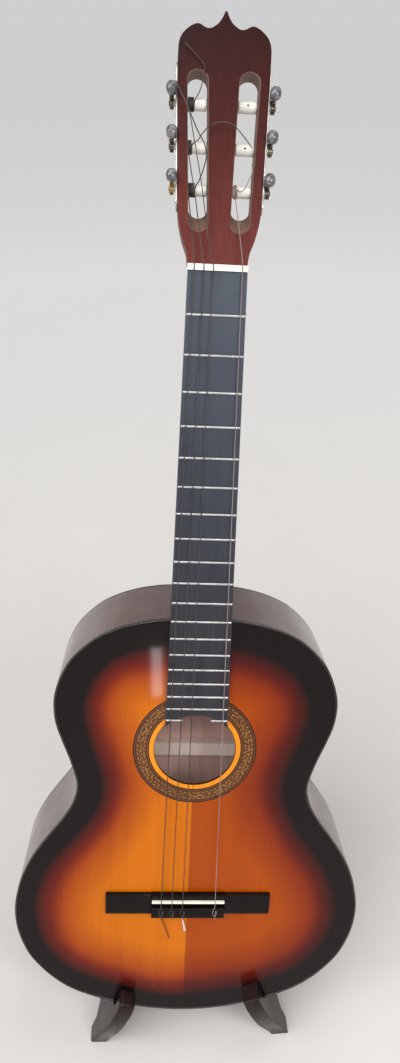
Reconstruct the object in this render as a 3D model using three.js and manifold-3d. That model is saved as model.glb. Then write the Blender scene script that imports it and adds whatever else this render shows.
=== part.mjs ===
// Classical guitar with a slotted headstock, resting on a folding wooden A-frame stand.
// Millimetres, +Z up, the soundboard faces -Y. The origin is on the floor, under the middle
// of everything. While the object is put together, Y is counted from the lowest front edge of
// the guitar; the last lines move it all forward to the origin.
//
// Inside the guitar group X runs across the soundboard, Y runs from the soundboard into
// the body and Z runs up towards the head; the nut is at Z = 0 and the bridge is below it.

import * as THREE from 'three';
import { mergeVertices } from 'three/addons/utils/BufferGeometryUtils.js';
import Module from 'manifold-3d';

const wasm = await Module();
wasm.setup();

// ---------------------------------------------------------------- driving dimensions

const GAP = 0.3;
const DEG = Math.PI / 180;

const SCALE_LENGTH = 650;
const FRET_COUNT = 19;
const BODY_TOP = 325;
const BODY_END = 814;
const BODY_DEPTH = 96;
const TOP_THICKNESS = 2.8;
const BACK_THICKNESS = 2.8;
const RIB_THICKNESS = 2.2;
const BINDING_WIDTH = 2.2;

const HOLE_CENTRE = 470.5;
const HOLE_RADIUS = 42.2;
const ROSETTE_INNER = 47.5;
const ROSETTE_OUTER = 64;

const NUT_HALF_WIDTH = 25.75;
const TWELFTH_HALF_WIDTH = 30.1;
const BOARD_TOP = -6.6;
const FRET_TOP = -7.9;

const HEAD_START = 5.8;
const HEAD_TILT = 10.5 * DEG;
const HEAD_THICKNESS = 19;
const HEAD_SIDE_SLOPE = 0.0272;
const ROLLER_STATIONS = [63, 98, 133];
const ROLLER_DEPTH = 10;
const ROLLER_RADIUS = 5;
const GEAR_RADIUS = 4.7;
const WORM_RADIUS = 2.3;
const WORM_OFFSET = GEAR_RADIUS + WORM_RADIUS + 0.4;
const WORM_SIDE = 5.4;

const LEAN = 16.84 * DEG;
const ROLL = 3.2 * DEG;
const TAIL_X = -7.8;
const TAIL_HEIGHT = 62;

const MIDDLE_SHIFT_X = 0.03;
const MIDDLE_SHIFT_Y = -166.16;

const HINGE_HEIGHT = 240;
const BOARD_ANGLE = 22.2 * DEG;
const BOARD_THICKNESS = 18.5;
const HINGE_FRONT = 159;
const HINGE_LENGTH = 70;

// ---------------------------------------------------------------- colours

function paint(colour, roughness, metalness = 0) {
  return new THREE.MeshStandardMaterial({ color: colour, roughness, metalness });
}

const TOP_WOOD = paint(0xc06a18, 0.25);
const BODY_WOOD = paint(0x4a1f18, 0.22);
const INNER_WOOD = paint(0xb08a68, 0.8);
const NECK_WOOD = paint(0x6b302c, 0.38);
const BLACK_WOOD = paint(0x26242b, 0.45);
const BINDING = paint(0x191213, 0.3);
const MOSAIC = paint(0x7a4a22, 0.35);
const IVORY = paint(0xe9e2cf, 0.4);
const NICKEL = paint(0xb9b6ae, 0.28, 1);
const PEARL = paint(0xb4b2b4, 0.3);
const STRING = paint(0x8c8680, 0.35, 0.6);
const STAND_WOOD = paint(0x4a2b26, 0.4);
const BRASS = paint(0xa98a4a, 0.35, 1);

// ---------------------------------------------------------------- small helpers

function solidOf(geometry) {
  const source = geometry.clone();
  for (const name of Object.keys(source.attributes)) {
    if (name !== 'position') {
      source.deleteAttribute(name);
    }
  }
  const merged = mergeVertices(source, 1e-4);
  return new wasm.Manifold(new wasm.Mesh({
    numProp: 3,
    vertProperties: new Float32Array(merged.attributes.position.array),
    triVerts: new Uint32Array(merged.index.array),
  }));
}

function geometryOf(solid) {
  const mesh = solid.getMesh();
  const geometry = new THREE.BufferGeometry();
  geometry.setAttribute('position', new THREE.BufferAttribute(new Float32Array(mesh.vertProperties), 3));
  geometry.setIndex(new THREE.BufferAttribute(new Uint32Array(mesh.triVerts), 1));
  geometry.computeVertexNormals();
  return geometry;
}

function joined(geometries) {
  const solids = geometries.map(solidOf);
  return geometryOf(solids.reduce((sum, next) => sum.add(next)));
}

function cut(geometry, tools) {
  let solid = solidOf(geometry);
  for (const tool of tools) {
    solid = solid.subtract(solidOf(tool));
  }
  return geometryOf(solid);
}

function place(parent, name, geometry, material) {
  const mesh = new THREE.Mesh(geometry, material);
  mesh.name = name;
  parent.add(mesh);
  return mesh;
}

function box(x0, x1, y0, y1, z0, z1) {
  const geometry = new THREE.BoxGeometry(x1 - x0, y1 - y0, z1 - z0);
  return geometry.translate((x0 + x1) / 2, (y0 + y1) / 2, (z0 + z1) / 2);
}

// A cylinder of the given radius running along one axis between two stations.
function rod(axis, radius, start, end, segments, a = 0, b = 0) {
  const geometry = new THREE.CylinderGeometry(radius, radius, end - start, segments);
  const middle = (start + end) / 2;
  if (axis === 'x') {
    return geometry.rotateZ(Math.PI / 2).translate(middle, a, b);
  }
  if (axis === 'y') {
    return geometry.translate(a, middle, b);
  }
  return geometry.rotateX(Math.PI / 2).translate(a, b, middle);
}

function shapeOf(points, holes = []) {
  const shape = new THREE.Shape(points.map(([x, y]) => new THREE.Vector2(x, y)));
  shape.holes = holes.map((hole) => new THREE.Path(hole.map(([x, y]) => new THREE.Vector2(x, y))));
  return shape;
}

// A flat plate: its outline lies in the X-Z plane and it fills Y from front to back.
function plate(points, front, back, holes = []) {
  const geometry = new THREE.ExtrudeGeometry(shapeOf(points, holes), {
    depth: back - front,
    bevelEnabled: false,
    steps: 1,
  });
  return geometry.rotateX(Math.PI / 2).translate(0, back, 0);
}

// A bar with the same side view all along X: the outline is given as [y, z] pairs.
function sideBar(points, left, right, steps = 1) {
  const geometry = new THREE.ExtrudeGeometry(shapeOf(points), {
    depth: right - left,
    bevelEnabled: false,
    steps,
  });
  geometry.rotateX(Math.PI / 2).rotateZ(Math.PI / 2);
  return geometry.translate(left, 0, 0);
}

function circle(radius, segments, x = 0, z = 0) {
  const points = [];
  for (let i = 0; i < segments; i += 1) {
    const angle = (i / segments) * 2 * Math.PI;
    points.push([x + radius * Math.cos(angle), z + radius * Math.sin(angle)]);
  }
  return points;
}

function smooth(points, count) {
  const curve = new THREE.SplineCurve(points.map(([x, y]) => new THREE.Vector2(x, y)));
  return curve.getSpacedPoints(count).map((p) => [p.x, p.y]);
}

function reshape(geometry, move) {
  const position = geometry.attributes.position;
  const point = new THREE.Vector3();
  for (let i = 0; i < position.count; i += 1) {
    point.fromBufferAttribute(position, i);
    move(point);
    position.setXYZ(i, point.x, point.y, point.z);
  }
  return geometry;
}

// Moves every corner of a closed outline inwards along the bisector of its two sides.
function inset(points, distance) {
  const count = points.length;
  return points.map(([x, y], i) => {
    const [ax, ay] = points[(i + count - 1) % count];
    const [bx, by] = points[(i + 1) % count];
    const first = new THREE.Vector2(x - ax, y - ay).normalize();
    const second = new THREE.Vector2(bx - x, by - y).normalize();
    const bisector = first.clone().add(second).normalize();
    const stretch = 1 / Math.max(0.5, bisector.dot(first));
    return [x - bisector.y * distance * stretch, y + bisector.x * distance * stretch];
  });
}

// ---------------------------------------------------------------- outlines

// Right half of the body, from the middle of the top edge to the middle of the tail.
const HALF_BODY = [
  [0, 325], [20, 325.1], [42, 326.4], [69, 332], [89, 339.5], [104, 348], [125, 368],
  [135, 384], [143, 407], [144.6, 420], [143, 441], [136.7, 462], [128.5, 485],
  [122.2, 508], [121.3, 518], [126, 536.5], [137.5, 557], [152.5, 578], [167, 600],
  [179, 625], [186.2, 651], [188.9, 673], [186.5, 700], [176, 731], [165, 748],
  [148, 767], [127, 783], [97, 796.5], [60, 807.5], [28, 812.8], [0, 814],
];

const rightHalf = smooth(HALF_BODY.map(([u, v]) => [u, -v]), 38);
const leftHalf = rightHalf.slice(1, -1).map(([u, z]) => [-u, z]).reverse();
const bodyOutline = [...leftHalf, ...rightHalf].reverse();

function boardHalfWidth(v) {
  return NUT_HALF_WIDTH + ((TWELFTH_HALF_WIDTH - NUT_HALF_WIDTH) * v) / BODY_TOP;
}

function fretDistance(n) {
  return SCALE_LENGTH * (1 - 2 ** (-n / 12));
}

// ---------------------------------------------------------------- groups

const object = new THREE.Group();

const guitar = new THREE.Group();
guitar.rotation.set(-LEAN, ROLL, 0, 'XYZ');
const tailOffset = new THREE.Vector3(0, 0, -BODY_END).applyEuler(guitar.rotation);
guitar.position.set(TAIL_X - tailOffset.x, -tailOffset.y, TAIL_HEIGHT - tailOffset.z);
object.add(guitar);

const head = new THREE.Group();
head.position.set(0, 0, HEAD_START);
head.rotation.set(-HEAD_TILT, 0, 0);
guitar.add(head);

// ---------------------------------------------------------------- body of the guitar

const soundHole = circle(HOLE_RADIUS, 36, 0, -HOLE_CENTRE);
const rosetteBed = plate(
  circle(ROSETTE_OUTER + GAP, 40, 0, -HOLE_CENTRE), -1, 0.9,
  [circle(ROSETTE_INNER - GAP, 40, 0, -HOLE_CENTRE)],
);
const topBlank = plate(inset(bodyOutline, BINDING_WIDTH + GAP), 0, TOP_THICKNESS, [soundHole]);
place(guitar, 'soundboard', cut(topBlank, [rosetteBed]), TOP_WOOD);

const rosette = plate(
  circle(ROSETTE_OUTER, 40, 0, -HOLE_CENTRE), 0, 0.6,
  [circle(ROSETTE_INNER, 40, 0, -HOLE_CENTRE)],
);
place(guitar, 'rosette', rosette, MOSAIC);

const backBlank = plate(inset(bodyOutline, BINDING_WIDTH + GAP), BODY_DEPTH - BACK_THICKNESS, BODY_DEPTH);
place(guitar, 'back_plate', backBlank, BODY_WOOD);

const bindingHole = inset(bodyOutline, BINDING_WIDTH);
place(guitar, 'binding_top', plate(bodyOutline, 0, TOP_THICKNESS, [bindingHole]), BINDING);
place(guitar, 'binding_back',
  plate(bodyOutline, BODY_DEPTH - BACK_THICKNESS, BODY_DEPTH, [bindingHole]), BINDING);

const RIB_FRONT = TOP_THICKNESS + GAP;
const RIB_BACK = BODY_DEPTH - BACK_THICKNESS - GAP;
const HEEL_TONGUE = 9.8;

const ribRing = plate(bodyOutline, RIB_FRONT, RIB_BACK, [inset(bodyOutline, RIB_THICKNESS)]);
for (const side of [-1, 1]) {
  const otherHalf = side > 0 ? box(-300, 0.2, -50, 150, -900, -200) : box(-0.2, 300, -50, 150, -900, -200);
  const tonguePassage = box(-HEEL_TONGUE - GAP, HEEL_TONGUE + GAP, -50, 150, -340, -310);
  place(guitar, side > 0 ? 'rib_right' : 'rib_left', cut(ribRing, [otherHalf, tonguePassage]), BODY_WOOD);
}

place(guitar, 'end_block', box(-30, 30, RIB_FRONT, RIB_BACK, -808, -793), INNER_WOOD);

const BRACES = [
  ['back_brace_upper', 400, 132, 7, 'back'],
  ['back_brace_lower', 521, 112, 16, 'back'],
  ['top_brace_upper', 418, 134, 7, 'front'],
  ['top_brace_lower', 524, 112, 7, 'front'],
];
for (const [name, v, reach, width, side] of BRACES) {
  const tall = side === 'back' ? 13 : 11;
  const low = side === 'back' ? RIB_BACK - tall : RIB_FRONT;
  const profile = side === 'back'
    ? [[-reach, low + tall], [-reach, low + tall - 4], [-reach + 30, low], [reach - 30, low],
      [reach, low + tall - 4], [reach, low + tall]]
    : [[-reach, low], [reach, low], [reach, low + 4], [reach - 30, low + tall],
      [-reach + 30, low + tall], [-reach, low + 4]];
  const bar = new THREE.ExtrudeGeometry(shapeOf(profile), { depth: width, bevelEnabled: false });
  place(guitar, name, bar.translate(0, 0, -v - width / 2), INNER_WOOD);
}

// ---------------------------------------------------------------- neck and headstock

// Half round shaft, growing wider and deeper from the nut to the body.
const shaftSection = [];
for (let i = 0; i <= 14; i += 1) {
  const angle = (i / 14) * Math.PI;
  const flat = Math.abs(Math.cos(angle)) ** 0.8 * Math.sign(Math.cos(angle));
  shaftSection.push([flat, -(Math.sin(angle) ** 0.8)]);
}
const shaft = new THREE.ExtrudeGeometry(shapeOf(shaftSection), {
  depth: 1,
  bevelEnabled: false,
  steps: 1,
});
reshape(shaft, (p) => {
  const v = -HEAD_START - 1 + p.z * (BODY_TOP - GAP + HEAD_START + 1);
  const deep = 20.5 + (2.5 * v) / BODY_TOP;
  p.set(p.x * (boardHalfWidth(v) - 0.1), p.y < -1e-6 ? -p.y * deep : 0, -v);
});

// Turning Z over mirrors the shape, so each triangle is turned over too.
function flip(geometry) {
  const position = geometry.attributes.position;
  const first = new THREE.Vector3();
  const second = new THREE.Vector3();
  for (let i = 0; i < position.count; i += 3) {
    first.fromBufferAttribute(position, i);
    second.fromBufferAttribute(position, i + 1);
    position.setXYZ(i, second.x, second.y, second.z);
    position.setXYZ(i + 1, first.x, first.y, first.z);
  }
  return geometry;
}

const heelProfile = [
  [0.5, -255], [19, -262], [22, -278], [28, -292], [40, -302], [60, -308], [86, -311],
  [90, -313], [90, -BODY_TOP + GAP], [0.5, -BODY_TOP + GAP],
];
const heel = sideBar(heelProfile, -1, 1, 6);
reshape(heel, (p) => {
  const deep = Math.min(1, Math.max(0, (p.y - 8) / 80));
  const half = (boardHalfWidth(-p.z) - 0.6) * (1 - 0.62 * deep ** 0.7);
  p.x *= half;
});

const tongue = box(-HEEL_TONGUE, HEEL_TONGUE, RIB_FRONT + GAP, RIB_BACK - GAP, -345, -322);
const neckBlock = box(-28, 28, RIB_FRONT + GAP, RIB_BACK - GAP, -352, -BODY_TOP - RIB_THICKNESS - 0.6);

const HALF_HEAD = [
  [26, 0], [27.4, 10], [31, 19.5], [33.2, 28], [34.9, 36], [35.9, 46],
  [35.9 + HEAD_SIDE_SLOPE * 122, 168], [39.1, 176], [38.2, 181], [36, 185.5], [31.8, 189.8],
  [28.2, 192.4], [24, 194], [21.4, 193.7], [18.4, 192], [15.3, 190.8], [12.1, 191],
  [9, 192.8], [6, 195.2], [4, 198], [2.2, 201.2], [0, 205.5],
];
const headOutline = [...HALF_HEAD, ...HALF_HEAD.slice(0, -1).reverse().map(([x, z]) => [-x, z])];
const headBlank = plate(headOutline, 0, HEAD_THICKNESS);

// Each slot is a stadium that follows the side of the head; its lower end slopes at the face.
function slotCutter(side) {
  const stadium = [];
  for (let i = 0; i <= 8; i += 1) {
    const angle = (i / 8) * Math.PI;
    stadium.push([Math.cos(angle), 1 + Math.sin(angle)]);
  }
  for (let i = 0; i <= 8; i += 1) {
    const angle = Math.PI + (i / 8) * Math.PI;
    stadium.push([Math.cos(angle), -1 + Math.sin(angle)]);
  }
  const geometry = new THREE.ExtrudeGeometry(shapeOf(stadium), {
    depth: 3,
    bevelEnabled: false,
    steps: 3,
  });
  geometry.rotateX(Math.PI / 2).translate(0, 3, 0);
  return reshape(geometry, (p) => {
    const depth = [-4, 0, 12, HEAD_THICKNESS + 3][Math.round(p.y)];
    const ramp = [19, 14, 0, 0][Math.round(p.y)];
    const top = p.z > 0;
    const rounding = 8.5 * (Math.abs(p.z) - 1);
    const s = top ? 148.8 + rounding : 48.6 - rounding - ramp;
    const centre = 18 + (s - 34) * 0.0345;
    p.set(side * (centre + p.x * (8.35 + (s - 34) * 0.003)), depth, s);
  });
}
const slots = [slotCutter(1), flip(slotCutter(-1))];

const rollerBores = [];
for (const side of [-1, 1]) {
  for (const s of ROLLER_STATIONS) {
    const inner = side > 0 ? 8 : -45;
    rollerBores.push(rod('x', 3.1, inner, inner + 37, 12, ROLLER_DEPTH, s));
  }
}
const rearWedge = box(-22, 22, 5, 17, -18, 3);
const headSolid = cut(joined([headBlank, rearWedge]), [...slots, ...rollerBores]);
headSolid.rotateX(-HEAD_TILT).translate(0, 0, HEAD_START);
place(guitar, 'neck', joined([shaft, heel, tongue, neckBlock, headSolid]), NECK_WOOD);

// ---------------------------------------------------------------- fretboard, frets and nut

const boardEnd = [];
for (let i = 0; i <= 10; i += 1) {
  const angle = (-46 + (92 * i) / 10) * DEG;
  const radius = HOLE_RADIUS + 0.8;
  boardEnd.push([radius * Math.sin(angle), -HOLE_CENTRE + radius * Math.cos(angle)]);
}
const boardOutline = [
  [-boardHalfWidth(0), 0],
  [-boardHalfWidth(440), -440],
  ...boardEnd,
  [boardHalfWidth(440), -440],
  [boardHalfWidth(0), 0],
];
place(guitar, 'fretboard', plate(boardOutline, BOARD_TOP, -0.4), BLACK_WOOD);

function fretBar(v, left, right) {
  const crown = [];
  for (let i = 0; i <= 6; i += 1) {
    const angle = (i / 6) * Math.PI;
    crown.push([FRET_TOP + 1 - Math.sin(angle), -v + 1.1 * Math.cos(angle)]);
  }
  return sideBar(crown, left, right);
}
for (let n = 1; n < FRET_COUNT; n += 1) {
  const v = fretDistance(n);
  const reach = boardHalfWidth(v) - 0.6;
  place(guitar, `fret_${String(n).padStart(2, '0')}`, fretBar(v, -reach, reach), NICKEL);
}
const lastFret = fretDistance(FRET_COUNT);
const lastReach = boardHalfWidth(lastFret) - 0.6;
place(guitar, 'fret_19_left', fretBar(lastFret, -lastReach, -14.5), NICKEL);
place(guitar, 'fret_19_right', fretBar(lastFret, 14.5, lastReach), NICKEL);

const nutProfile = [[-0.4, 0.3], [-0.4, 5.6], [-7.4, 5.6], [-8.8, 4.2], [-8.6, 0.3]];
place(guitar, 'nut', sideBar(nutProfile, -26, 26), IVORY);

// ---------------------------------------------------------------- bridge and saddle

const wings = sideBar([[-0.3, -649], [-3.4, -649], [-4.6, -651.5], [-4.6, -672], [-3.4, -675.5],
  [-0.3, -675.5]], -90, 90);
const tieBlock = sideBar([[-0.3, -648.5], [-3.4, -648.5], [-9, -651], [-9, -652.5],
  [-5, -652.5], [-5, -655.7], [-9, -655.7], [-9, -657], [-4.6, -659], [-4.6, -664.5],
  [-8.2, -664.5], [-8.2, -677.5], [-0.3, -677.5]], -40, 40);
const saddleSlot = box(-40.2, 40.2, -20, -5, -655.7, -652.5);
const tieValley = box(-40.2, 40.2, -20, -4.6, -664.5, -659);
place(guitar, 'bridge', cut(joined([wings, tieBlock]), [saddleSlot, tieValley]), BLACK_WOOD);
place(guitar, 'saddle', sideBar([[-5.3, -652.8], [-11.2, -652.8], [-11.8, -653.6],
  [-11.8, -654.6], [-11.2, -655.4], [-5.3, -655.4]], -39.5, 39.5), IVORY);

// ---------------------------------------------------------------- machine heads

function headHalfWidth(s) {
  return 35.9 + HEAD_SIDE_SLOPE * (s - 46);
}

function tunerPlate(side) {
  const outline = [
    [44, 9], [46, 4], [52, 2], [60, 3.4], [80, 2], [98, 3.4], [116, 2], [136, 3.4], [156, 2],
    [163, 4], [166, 9.5], [163, 15], [156, 17], [136, 15.6], [116, 17], [98, 15.6], [80, 17],
    [60, 15.6], [52, 17], [46, 15],
  ].map(([s, y]) => [y, s]);
  const left = side > 0 ? GAP : -GAP - 1.2;
  const pieces = [sideBar(outline, left, left + 1.2)];
  const bores = [];
  for (const s of ROLLER_STATIONS) {
    bores.push(rod('x', 3.1, left - 1, left + 2.2, 12, ROLLER_DEPTH, s));
    const worm = s + WORM_OFFSET;
    for (const y of [2.4, 15]) {
      const start = side > 0 ? left + 0.6 : left - 6.6;
      pieces.push(box(start, start + 7.2, y, y + 1.8, worm - 3, worm + 3));
      bores.push(rod('y', 2.2, y - 0.1, y + 1.9, 8, side * WORM_SIDE, worm));
    }
  }
  const solid = cut(joined(pieces), bores);
  const turn = side * Math.atan(HEAD_SIDE_SLOPE);
  solid.translate(0, 0, -46).rotateY(turn).translate(side * 35.9, 0, 46);
  return solid;
}

for (const side of [-1, 1]) {
  const word = side > 0 ? 'right' : 'left';
  place(head, `tuner_plate_${word}`, tunerPlate(side), NICKEL);

  ROLLER_STATIONS.forEach((s, i) => {
    const edge = headHalfWidth(s);
    const inner = 18 + (s - 34) * 0.0345 - 7.7;
    const profile = [
      [0, inner - 2.6], [2.5, inner - 2.6], [2.5, inner], [ROLLER_RADIUS, inner],
      [ROLLER_RADIUS, inner + 15.6], [2.6, inner + 15.6], [2.6, edge + 3.4],
      [GEAR_RADIUS, edge + 3.4], [GEAR_RADIUS, edge + 7], [0, edge + 7],
    ];
    const lathe = new THREE.LatheGeometry(profile.map(([r, x]) => new THREE.Vector2(r, x)), 12);
    lathe.rotateZ(-Math.PI / 2);
    if (side < 0) {
      lathe.rotateZ(Math.PI);
    }
    lathe.translate(0, ROLLER_DEPTH, s);
    const eye = rod('y', 0.9, -20, 40, 6, side * (inner + 7.8), s);
    const empty = side > 0 && i > 0;
    const geometry = empty ? cut(lathe, [eye]) : geometryOf(solidOf(lathe));
    place(head, `roller_${word}_${i + 1}`, geometry, IVORY);

    const worm = new THREE.LatheGeometry([
      [0, -2], [2.6, -2], [2.6, 1.9], [1.5, 1.9], [1.5, 4.6], [WORM_RADIUS, 4.6],
      [WORM_RADIUS, 14.6], [1.5, 14.6], [1.5, 17.6], [0, 17.6],
    ].map(([r, y]) => new THREE.Vector2(r, y)), 10);
    const button = new THREE.SphereGeometry(1, 12, 8);
    button.scale(5, 4.9, 6.3).translate(0, -3.4, 0);
    const knob = joined([worm, button]);
    knob.translate(side * (edge + WORM_SIDE), 0, s + WORM_OFFSET);
    place(head, `knob_${word}_${i + 1}`, knob, PEARL);
  });
}

// ---------------------------------------------------------------- strings

// Points of the head are given in its own frame; this carries them to the guitar frame.
function fromHead([u, depth, s]) {
  const point = new THREE.Vector3(u, depth, s).applyEuler(head.rotation);
  return [point.x, point.y, point.z + HEAD_START];
}

function stringGeometry(points, radius) {
  const path = new THREE.CatmullRomCurve3(points.map((p) => new THREE.Vector3(...p)));
  path.getUtoTmapping = (u) => u;
  const section = shapeOf(circle(radius, 5));
  return new THREE.ExtrudeGeometry(section, {
    steps: (points.length - 1) * 2,
    bevelEnabled: false,
    extrudePath: path,
  });
}

// One turn round a roller, from its front face towards the back and up again.
function wrap(u, s, pitch, radius) {
  const reach = ROLLER_RADIUS + radius + 0.8;
  const turn = [];
  for (let i = 0; i <= 6; i += 1) {
    const angle = ((-100 - 60 * i) * Math.PI) / 180;
    turn.push([u + pitch * i, ROLLER_DEPTH + reach * Math.sin(angle), s - reach * Math.cos(angle)]);
  }
  return turn;
}

const STRINGS = [
  {
    name: 'string_e_low', radius: 0.5, nut: -20.4, saddle: -29.4, roller: -26, station: 0, pitch: 0.5,
    bridgeTail: [[-27.5, -1.6, -684], [-23.5, -1.7, -697], [-19.1, -1.7, -711]],
    headTail: [[-17, 1, 70], [-11.5, -5, 87], [-15, -9, 98], [-28, -14, 124], [-40, -18, 146]],
  },
  {
    name: 'string_a', radius: 0.5, nut: -12.1, saddle: -17.8, roller: -27, station: 1, pitch: 0.5,
    bridgeTail: [],
    headTail: [[-20, 1, 106], [-10.5, -6, 112], [-1.5, -10, 114], [9, -11, 111], [16, -11, 105],
      [25.5, -9, 95]],
  },
  {
    name: 'string_d', radius: 0.45, nut: -4, saddle: -6.1, roller: -26.5, station: 2, pitch: 0.5,
    bridgeTail: [[-5.4, -2, -684], [-3.4, -2.4, -692], [-1.7, -2.6, -700]],
    headTail: [[-19, 2, 146], [-17.5, -2.5, 160], [-24, -4.5, 167], [-34, -5, 176]],
  },
  {
    name: 'string_e_high', radius: 0.4, nut: 20.9, saddle: 29.2, roller: 12.6, station: 0, pitch: 0.5,
    bridgeTail: [],
    headTail: [[17, 2.6, 62], [20, 1.5, 63], [23.5, -2, 69], [26.5, -3, 76.5], [26, -3, 83]],
  },
];

for (const item of STRINGS) {
  const s = ROLLER_STATIONS[item.station];
  const lift = item.radius + 0.35;
  const start = [
    ...item.bridgeTail.slice().reverse(),
    [item.saddle, -4, -679.6],
    [item.saddle, -8.3 - lift, -679],
    [item.saddle, -9.1 - lift, -675],
    [item.saddle, -9.1 - lift, -665],
    [item.saddle, -11.8 - lift, -655],
    [item.saddle, -11.85 - lift, -652.9],
  ];
  const straight = [0.2, 0.5, 0.8].map((t) => [
    item.saddle + (item.nut - item.saddle) * t,
    -11.85 - lift + (3 * t),
    -652.9 * (1 - t),
  ]);
  const overNut = [[item.nut, -8.85 - lift, 1.5], [item.nut, -8.85 - lift, 4.2]];
  const turn = wrap(item.roller, s, item.pitch, item.radius);
  const middle = fromHead([(item.nut + item.roller) / 2, -2.2, s / 2 + 2]);
  const points = [
    ...start,
    ...straight,
    ...overNut,
    middle,
    ...turn.map(fromHead),
    ...item.headTail.map(fromHead),
  ];
  place(guitar, item.name, stringGeometry(points, item.radius), STRING);
}

// ---------------------------------------------------------------- stand

// Side view of one board as [y, z], where z is the height of its inner face when open.
const BOARD_PROFILE = [
  ...smooth([[9.4, 93], [-8, 93], [-12.5, 90], [-15.5, 76], [-15.8, 58], [-13.4, 40],
    [-9.2, 24], [-5.5, 8], [-4, -8]], 12),
  ...smooth([[14.5, -8], [16, 2], [21, 15], [30, 20], [48, 20.5], [78, 20], [104, 25],
    [130, 39], [158, 55], [184, 58], [204, 44], [216, 20], [221, -8]], 16),
  ...smooth([[246, -8], [245, 12], [237, 60], [229, 110], [226, 160], [228, 205],
    [230, HINGE_HEIGHT - 3.3]], 10),
  [156, HINGE_HEIGHT - 3.3],
  [152, HINGE_HEIGHT - 8],
  [94, 46],
  [88, 44],
  [2, 70],
  [0.5, 74],
];

const bodyClearance = plate(inset(bodyOutline, -0.6), -1.2, BODY_DEPTH + 0.7);
const clearanceTool = bodyClearance.clone();
guitar.updateMatrixWorld(true);
clearanceTool.applyMatrix4(guitar.matrixWorld);
const floorTool = box(-400, 400, -100, 400, -60, 0);

for (const side of [-1, 1]) {
  const word = side > 0 ? 'right' : 'left';
  const outline = BOARD_PROFILE.map(([y, z]) => [y, (z - HINGE_HEIGHT) / Math.cos(BOARD_ANGLE)]);
  const inner = side > 0 ? GAP : -GAP - BOARD_THICKNESS;
  const blank = sideBar(outline, inner, inner + BOARD_THICKNESS);
  blank.rotateY(-side * BOARD_ANGLE).translate(0, 0, HINGE_HEIGHT);
  place(object, `leg_${word}`, cut(blank, [clearanceTool, floorTool]), STAND_WOOD);

  const leaf = [side > 0 ? box(0.8, 17, HINGE_FRONT, HINGE_FRONT + HINGE_LENGTH, -3, -1.4)
    : box(-17, -0.8, HINGE_FRONT, HINGE_FRONT + HINGE_LENGTH, -3, -1.4)];
  const segment = HINGE_LENGTH / 5;
  const clearSides = [rod('y', 2.1, HINGE_FRONT - 5, HINGE_FRONT + HINGE_LENGTH + 5, 16)];
  for (let i = 0; i < 5; i += 1) {
    const from = HINGE_FRONT + i * segment;
    if ((i % 2 === 0) === (side < 0)) {
      leaf.push(rod('y', 3, from + 0.2, from + segment - 0.2, 16));
    } else {
      clearSides.push(rod('y', 3.4, from - 0.2, from + segment + 0.2, 16));
    }
  }
  const leafSolid = cut(joined(leaf), clearSides);
  leafSolid.rotateY(-side * BOARD_ANGLE).translate(0, 0, HINGE_HEIGHT);
  place(object, `hinge_leaf_${word}`, leafSolid, BRASS);
}
place(object, 'hinge_pin', rod('y', 1.7, HINGE_FRONT - 1.2, HINGE_FRONT + HINGE_LENGTH + 1.2, 12, 0,
  HINGE_HEIGHT), BRASS);

// ---------------------------------------------------------------- origin under the middle

const part = new THREE.Group();
part.position.set(MIDDLE_SHIFT_X, MIDDLE_SHIFT_Y, 0);
part.add(object);

export default part;
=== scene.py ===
# Classical guitar resting on a folding wooden stand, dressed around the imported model.
# Metres. The guitar is drawn in its own frame (x across the top, y into the body,
# z up towards the head, nut at z = 0) and then carried to its place.

import math

import bmesh
import bpy
import numpy as np
from mathutils import Matrix, Vector, geometry


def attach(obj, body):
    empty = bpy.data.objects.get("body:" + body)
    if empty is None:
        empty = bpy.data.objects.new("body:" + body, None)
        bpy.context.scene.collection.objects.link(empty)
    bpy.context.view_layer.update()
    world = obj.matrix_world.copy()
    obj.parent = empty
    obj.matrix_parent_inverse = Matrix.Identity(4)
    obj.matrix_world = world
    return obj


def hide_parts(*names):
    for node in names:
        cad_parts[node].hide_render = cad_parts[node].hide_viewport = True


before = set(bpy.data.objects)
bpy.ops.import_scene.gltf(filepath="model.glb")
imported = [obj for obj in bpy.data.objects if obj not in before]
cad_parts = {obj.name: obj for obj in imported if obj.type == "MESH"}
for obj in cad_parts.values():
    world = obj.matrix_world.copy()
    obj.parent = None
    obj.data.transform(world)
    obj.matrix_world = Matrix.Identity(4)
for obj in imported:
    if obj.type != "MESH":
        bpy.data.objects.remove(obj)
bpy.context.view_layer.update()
mm = 0.001
print("frame loaded")

# Where the guitar stands

placing = {
    "lean": 16.84,
    "roll": 3.2,
    "tail": (-7.77, -166.16, 62.0),
    "bodyEnd": 814.0,
    "headStart": 5.8,
    "headTilt": 10.5,
    "standCentre": (0.03, -166.16),
    "hingeHeight": 240.0,
    "boardAngle": 22.2,
}


def guitarMatrix():
    turn = Matrix.Rotation(math.radians(-placing["lean"]), 4, "X")
    turn = turn @ Matrix.Rotation(math.radians(placing["roll"]), 4, "Y")
    tail = turn @ Vector((0, 0, -placing["bodyEnd"]))
    return Matrix.Translation(Vector(placing["tail"]) - tail) @ turn


guitarPlace = guitarMatrix()
headTurn = Matrix.Rotation(math.radians(-placing["headTilt"]), 4, "X")
headPlace = Matrix.Translation((0, 0, placing["headStart"])) @ headTurn
standShift = Matrix.Translation((*placing["standCentre"], 0))

# Camera and light


view = {"place": (-0.01058, -0.62715, 1.03855), "turn": (56.093, -0.062, -2.723), "lens": 27.09}


def makeCamera():
    data = bpy.data.cameras.new("camera")
    data.lens = view["lens"]
    data.sensor_width = 36
    data.clip_start = 0.02
    data.clip_end = 200
    camera = bpy.data.objects.new("camera", data)
    camera.location = view["place"]
    camera.rotation_euler = [math.radians(a) for a in view["turn"]]
    bpy.context.scene.collection.objects.link(camera)
    bpy.context.scene.camera = camera


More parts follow.
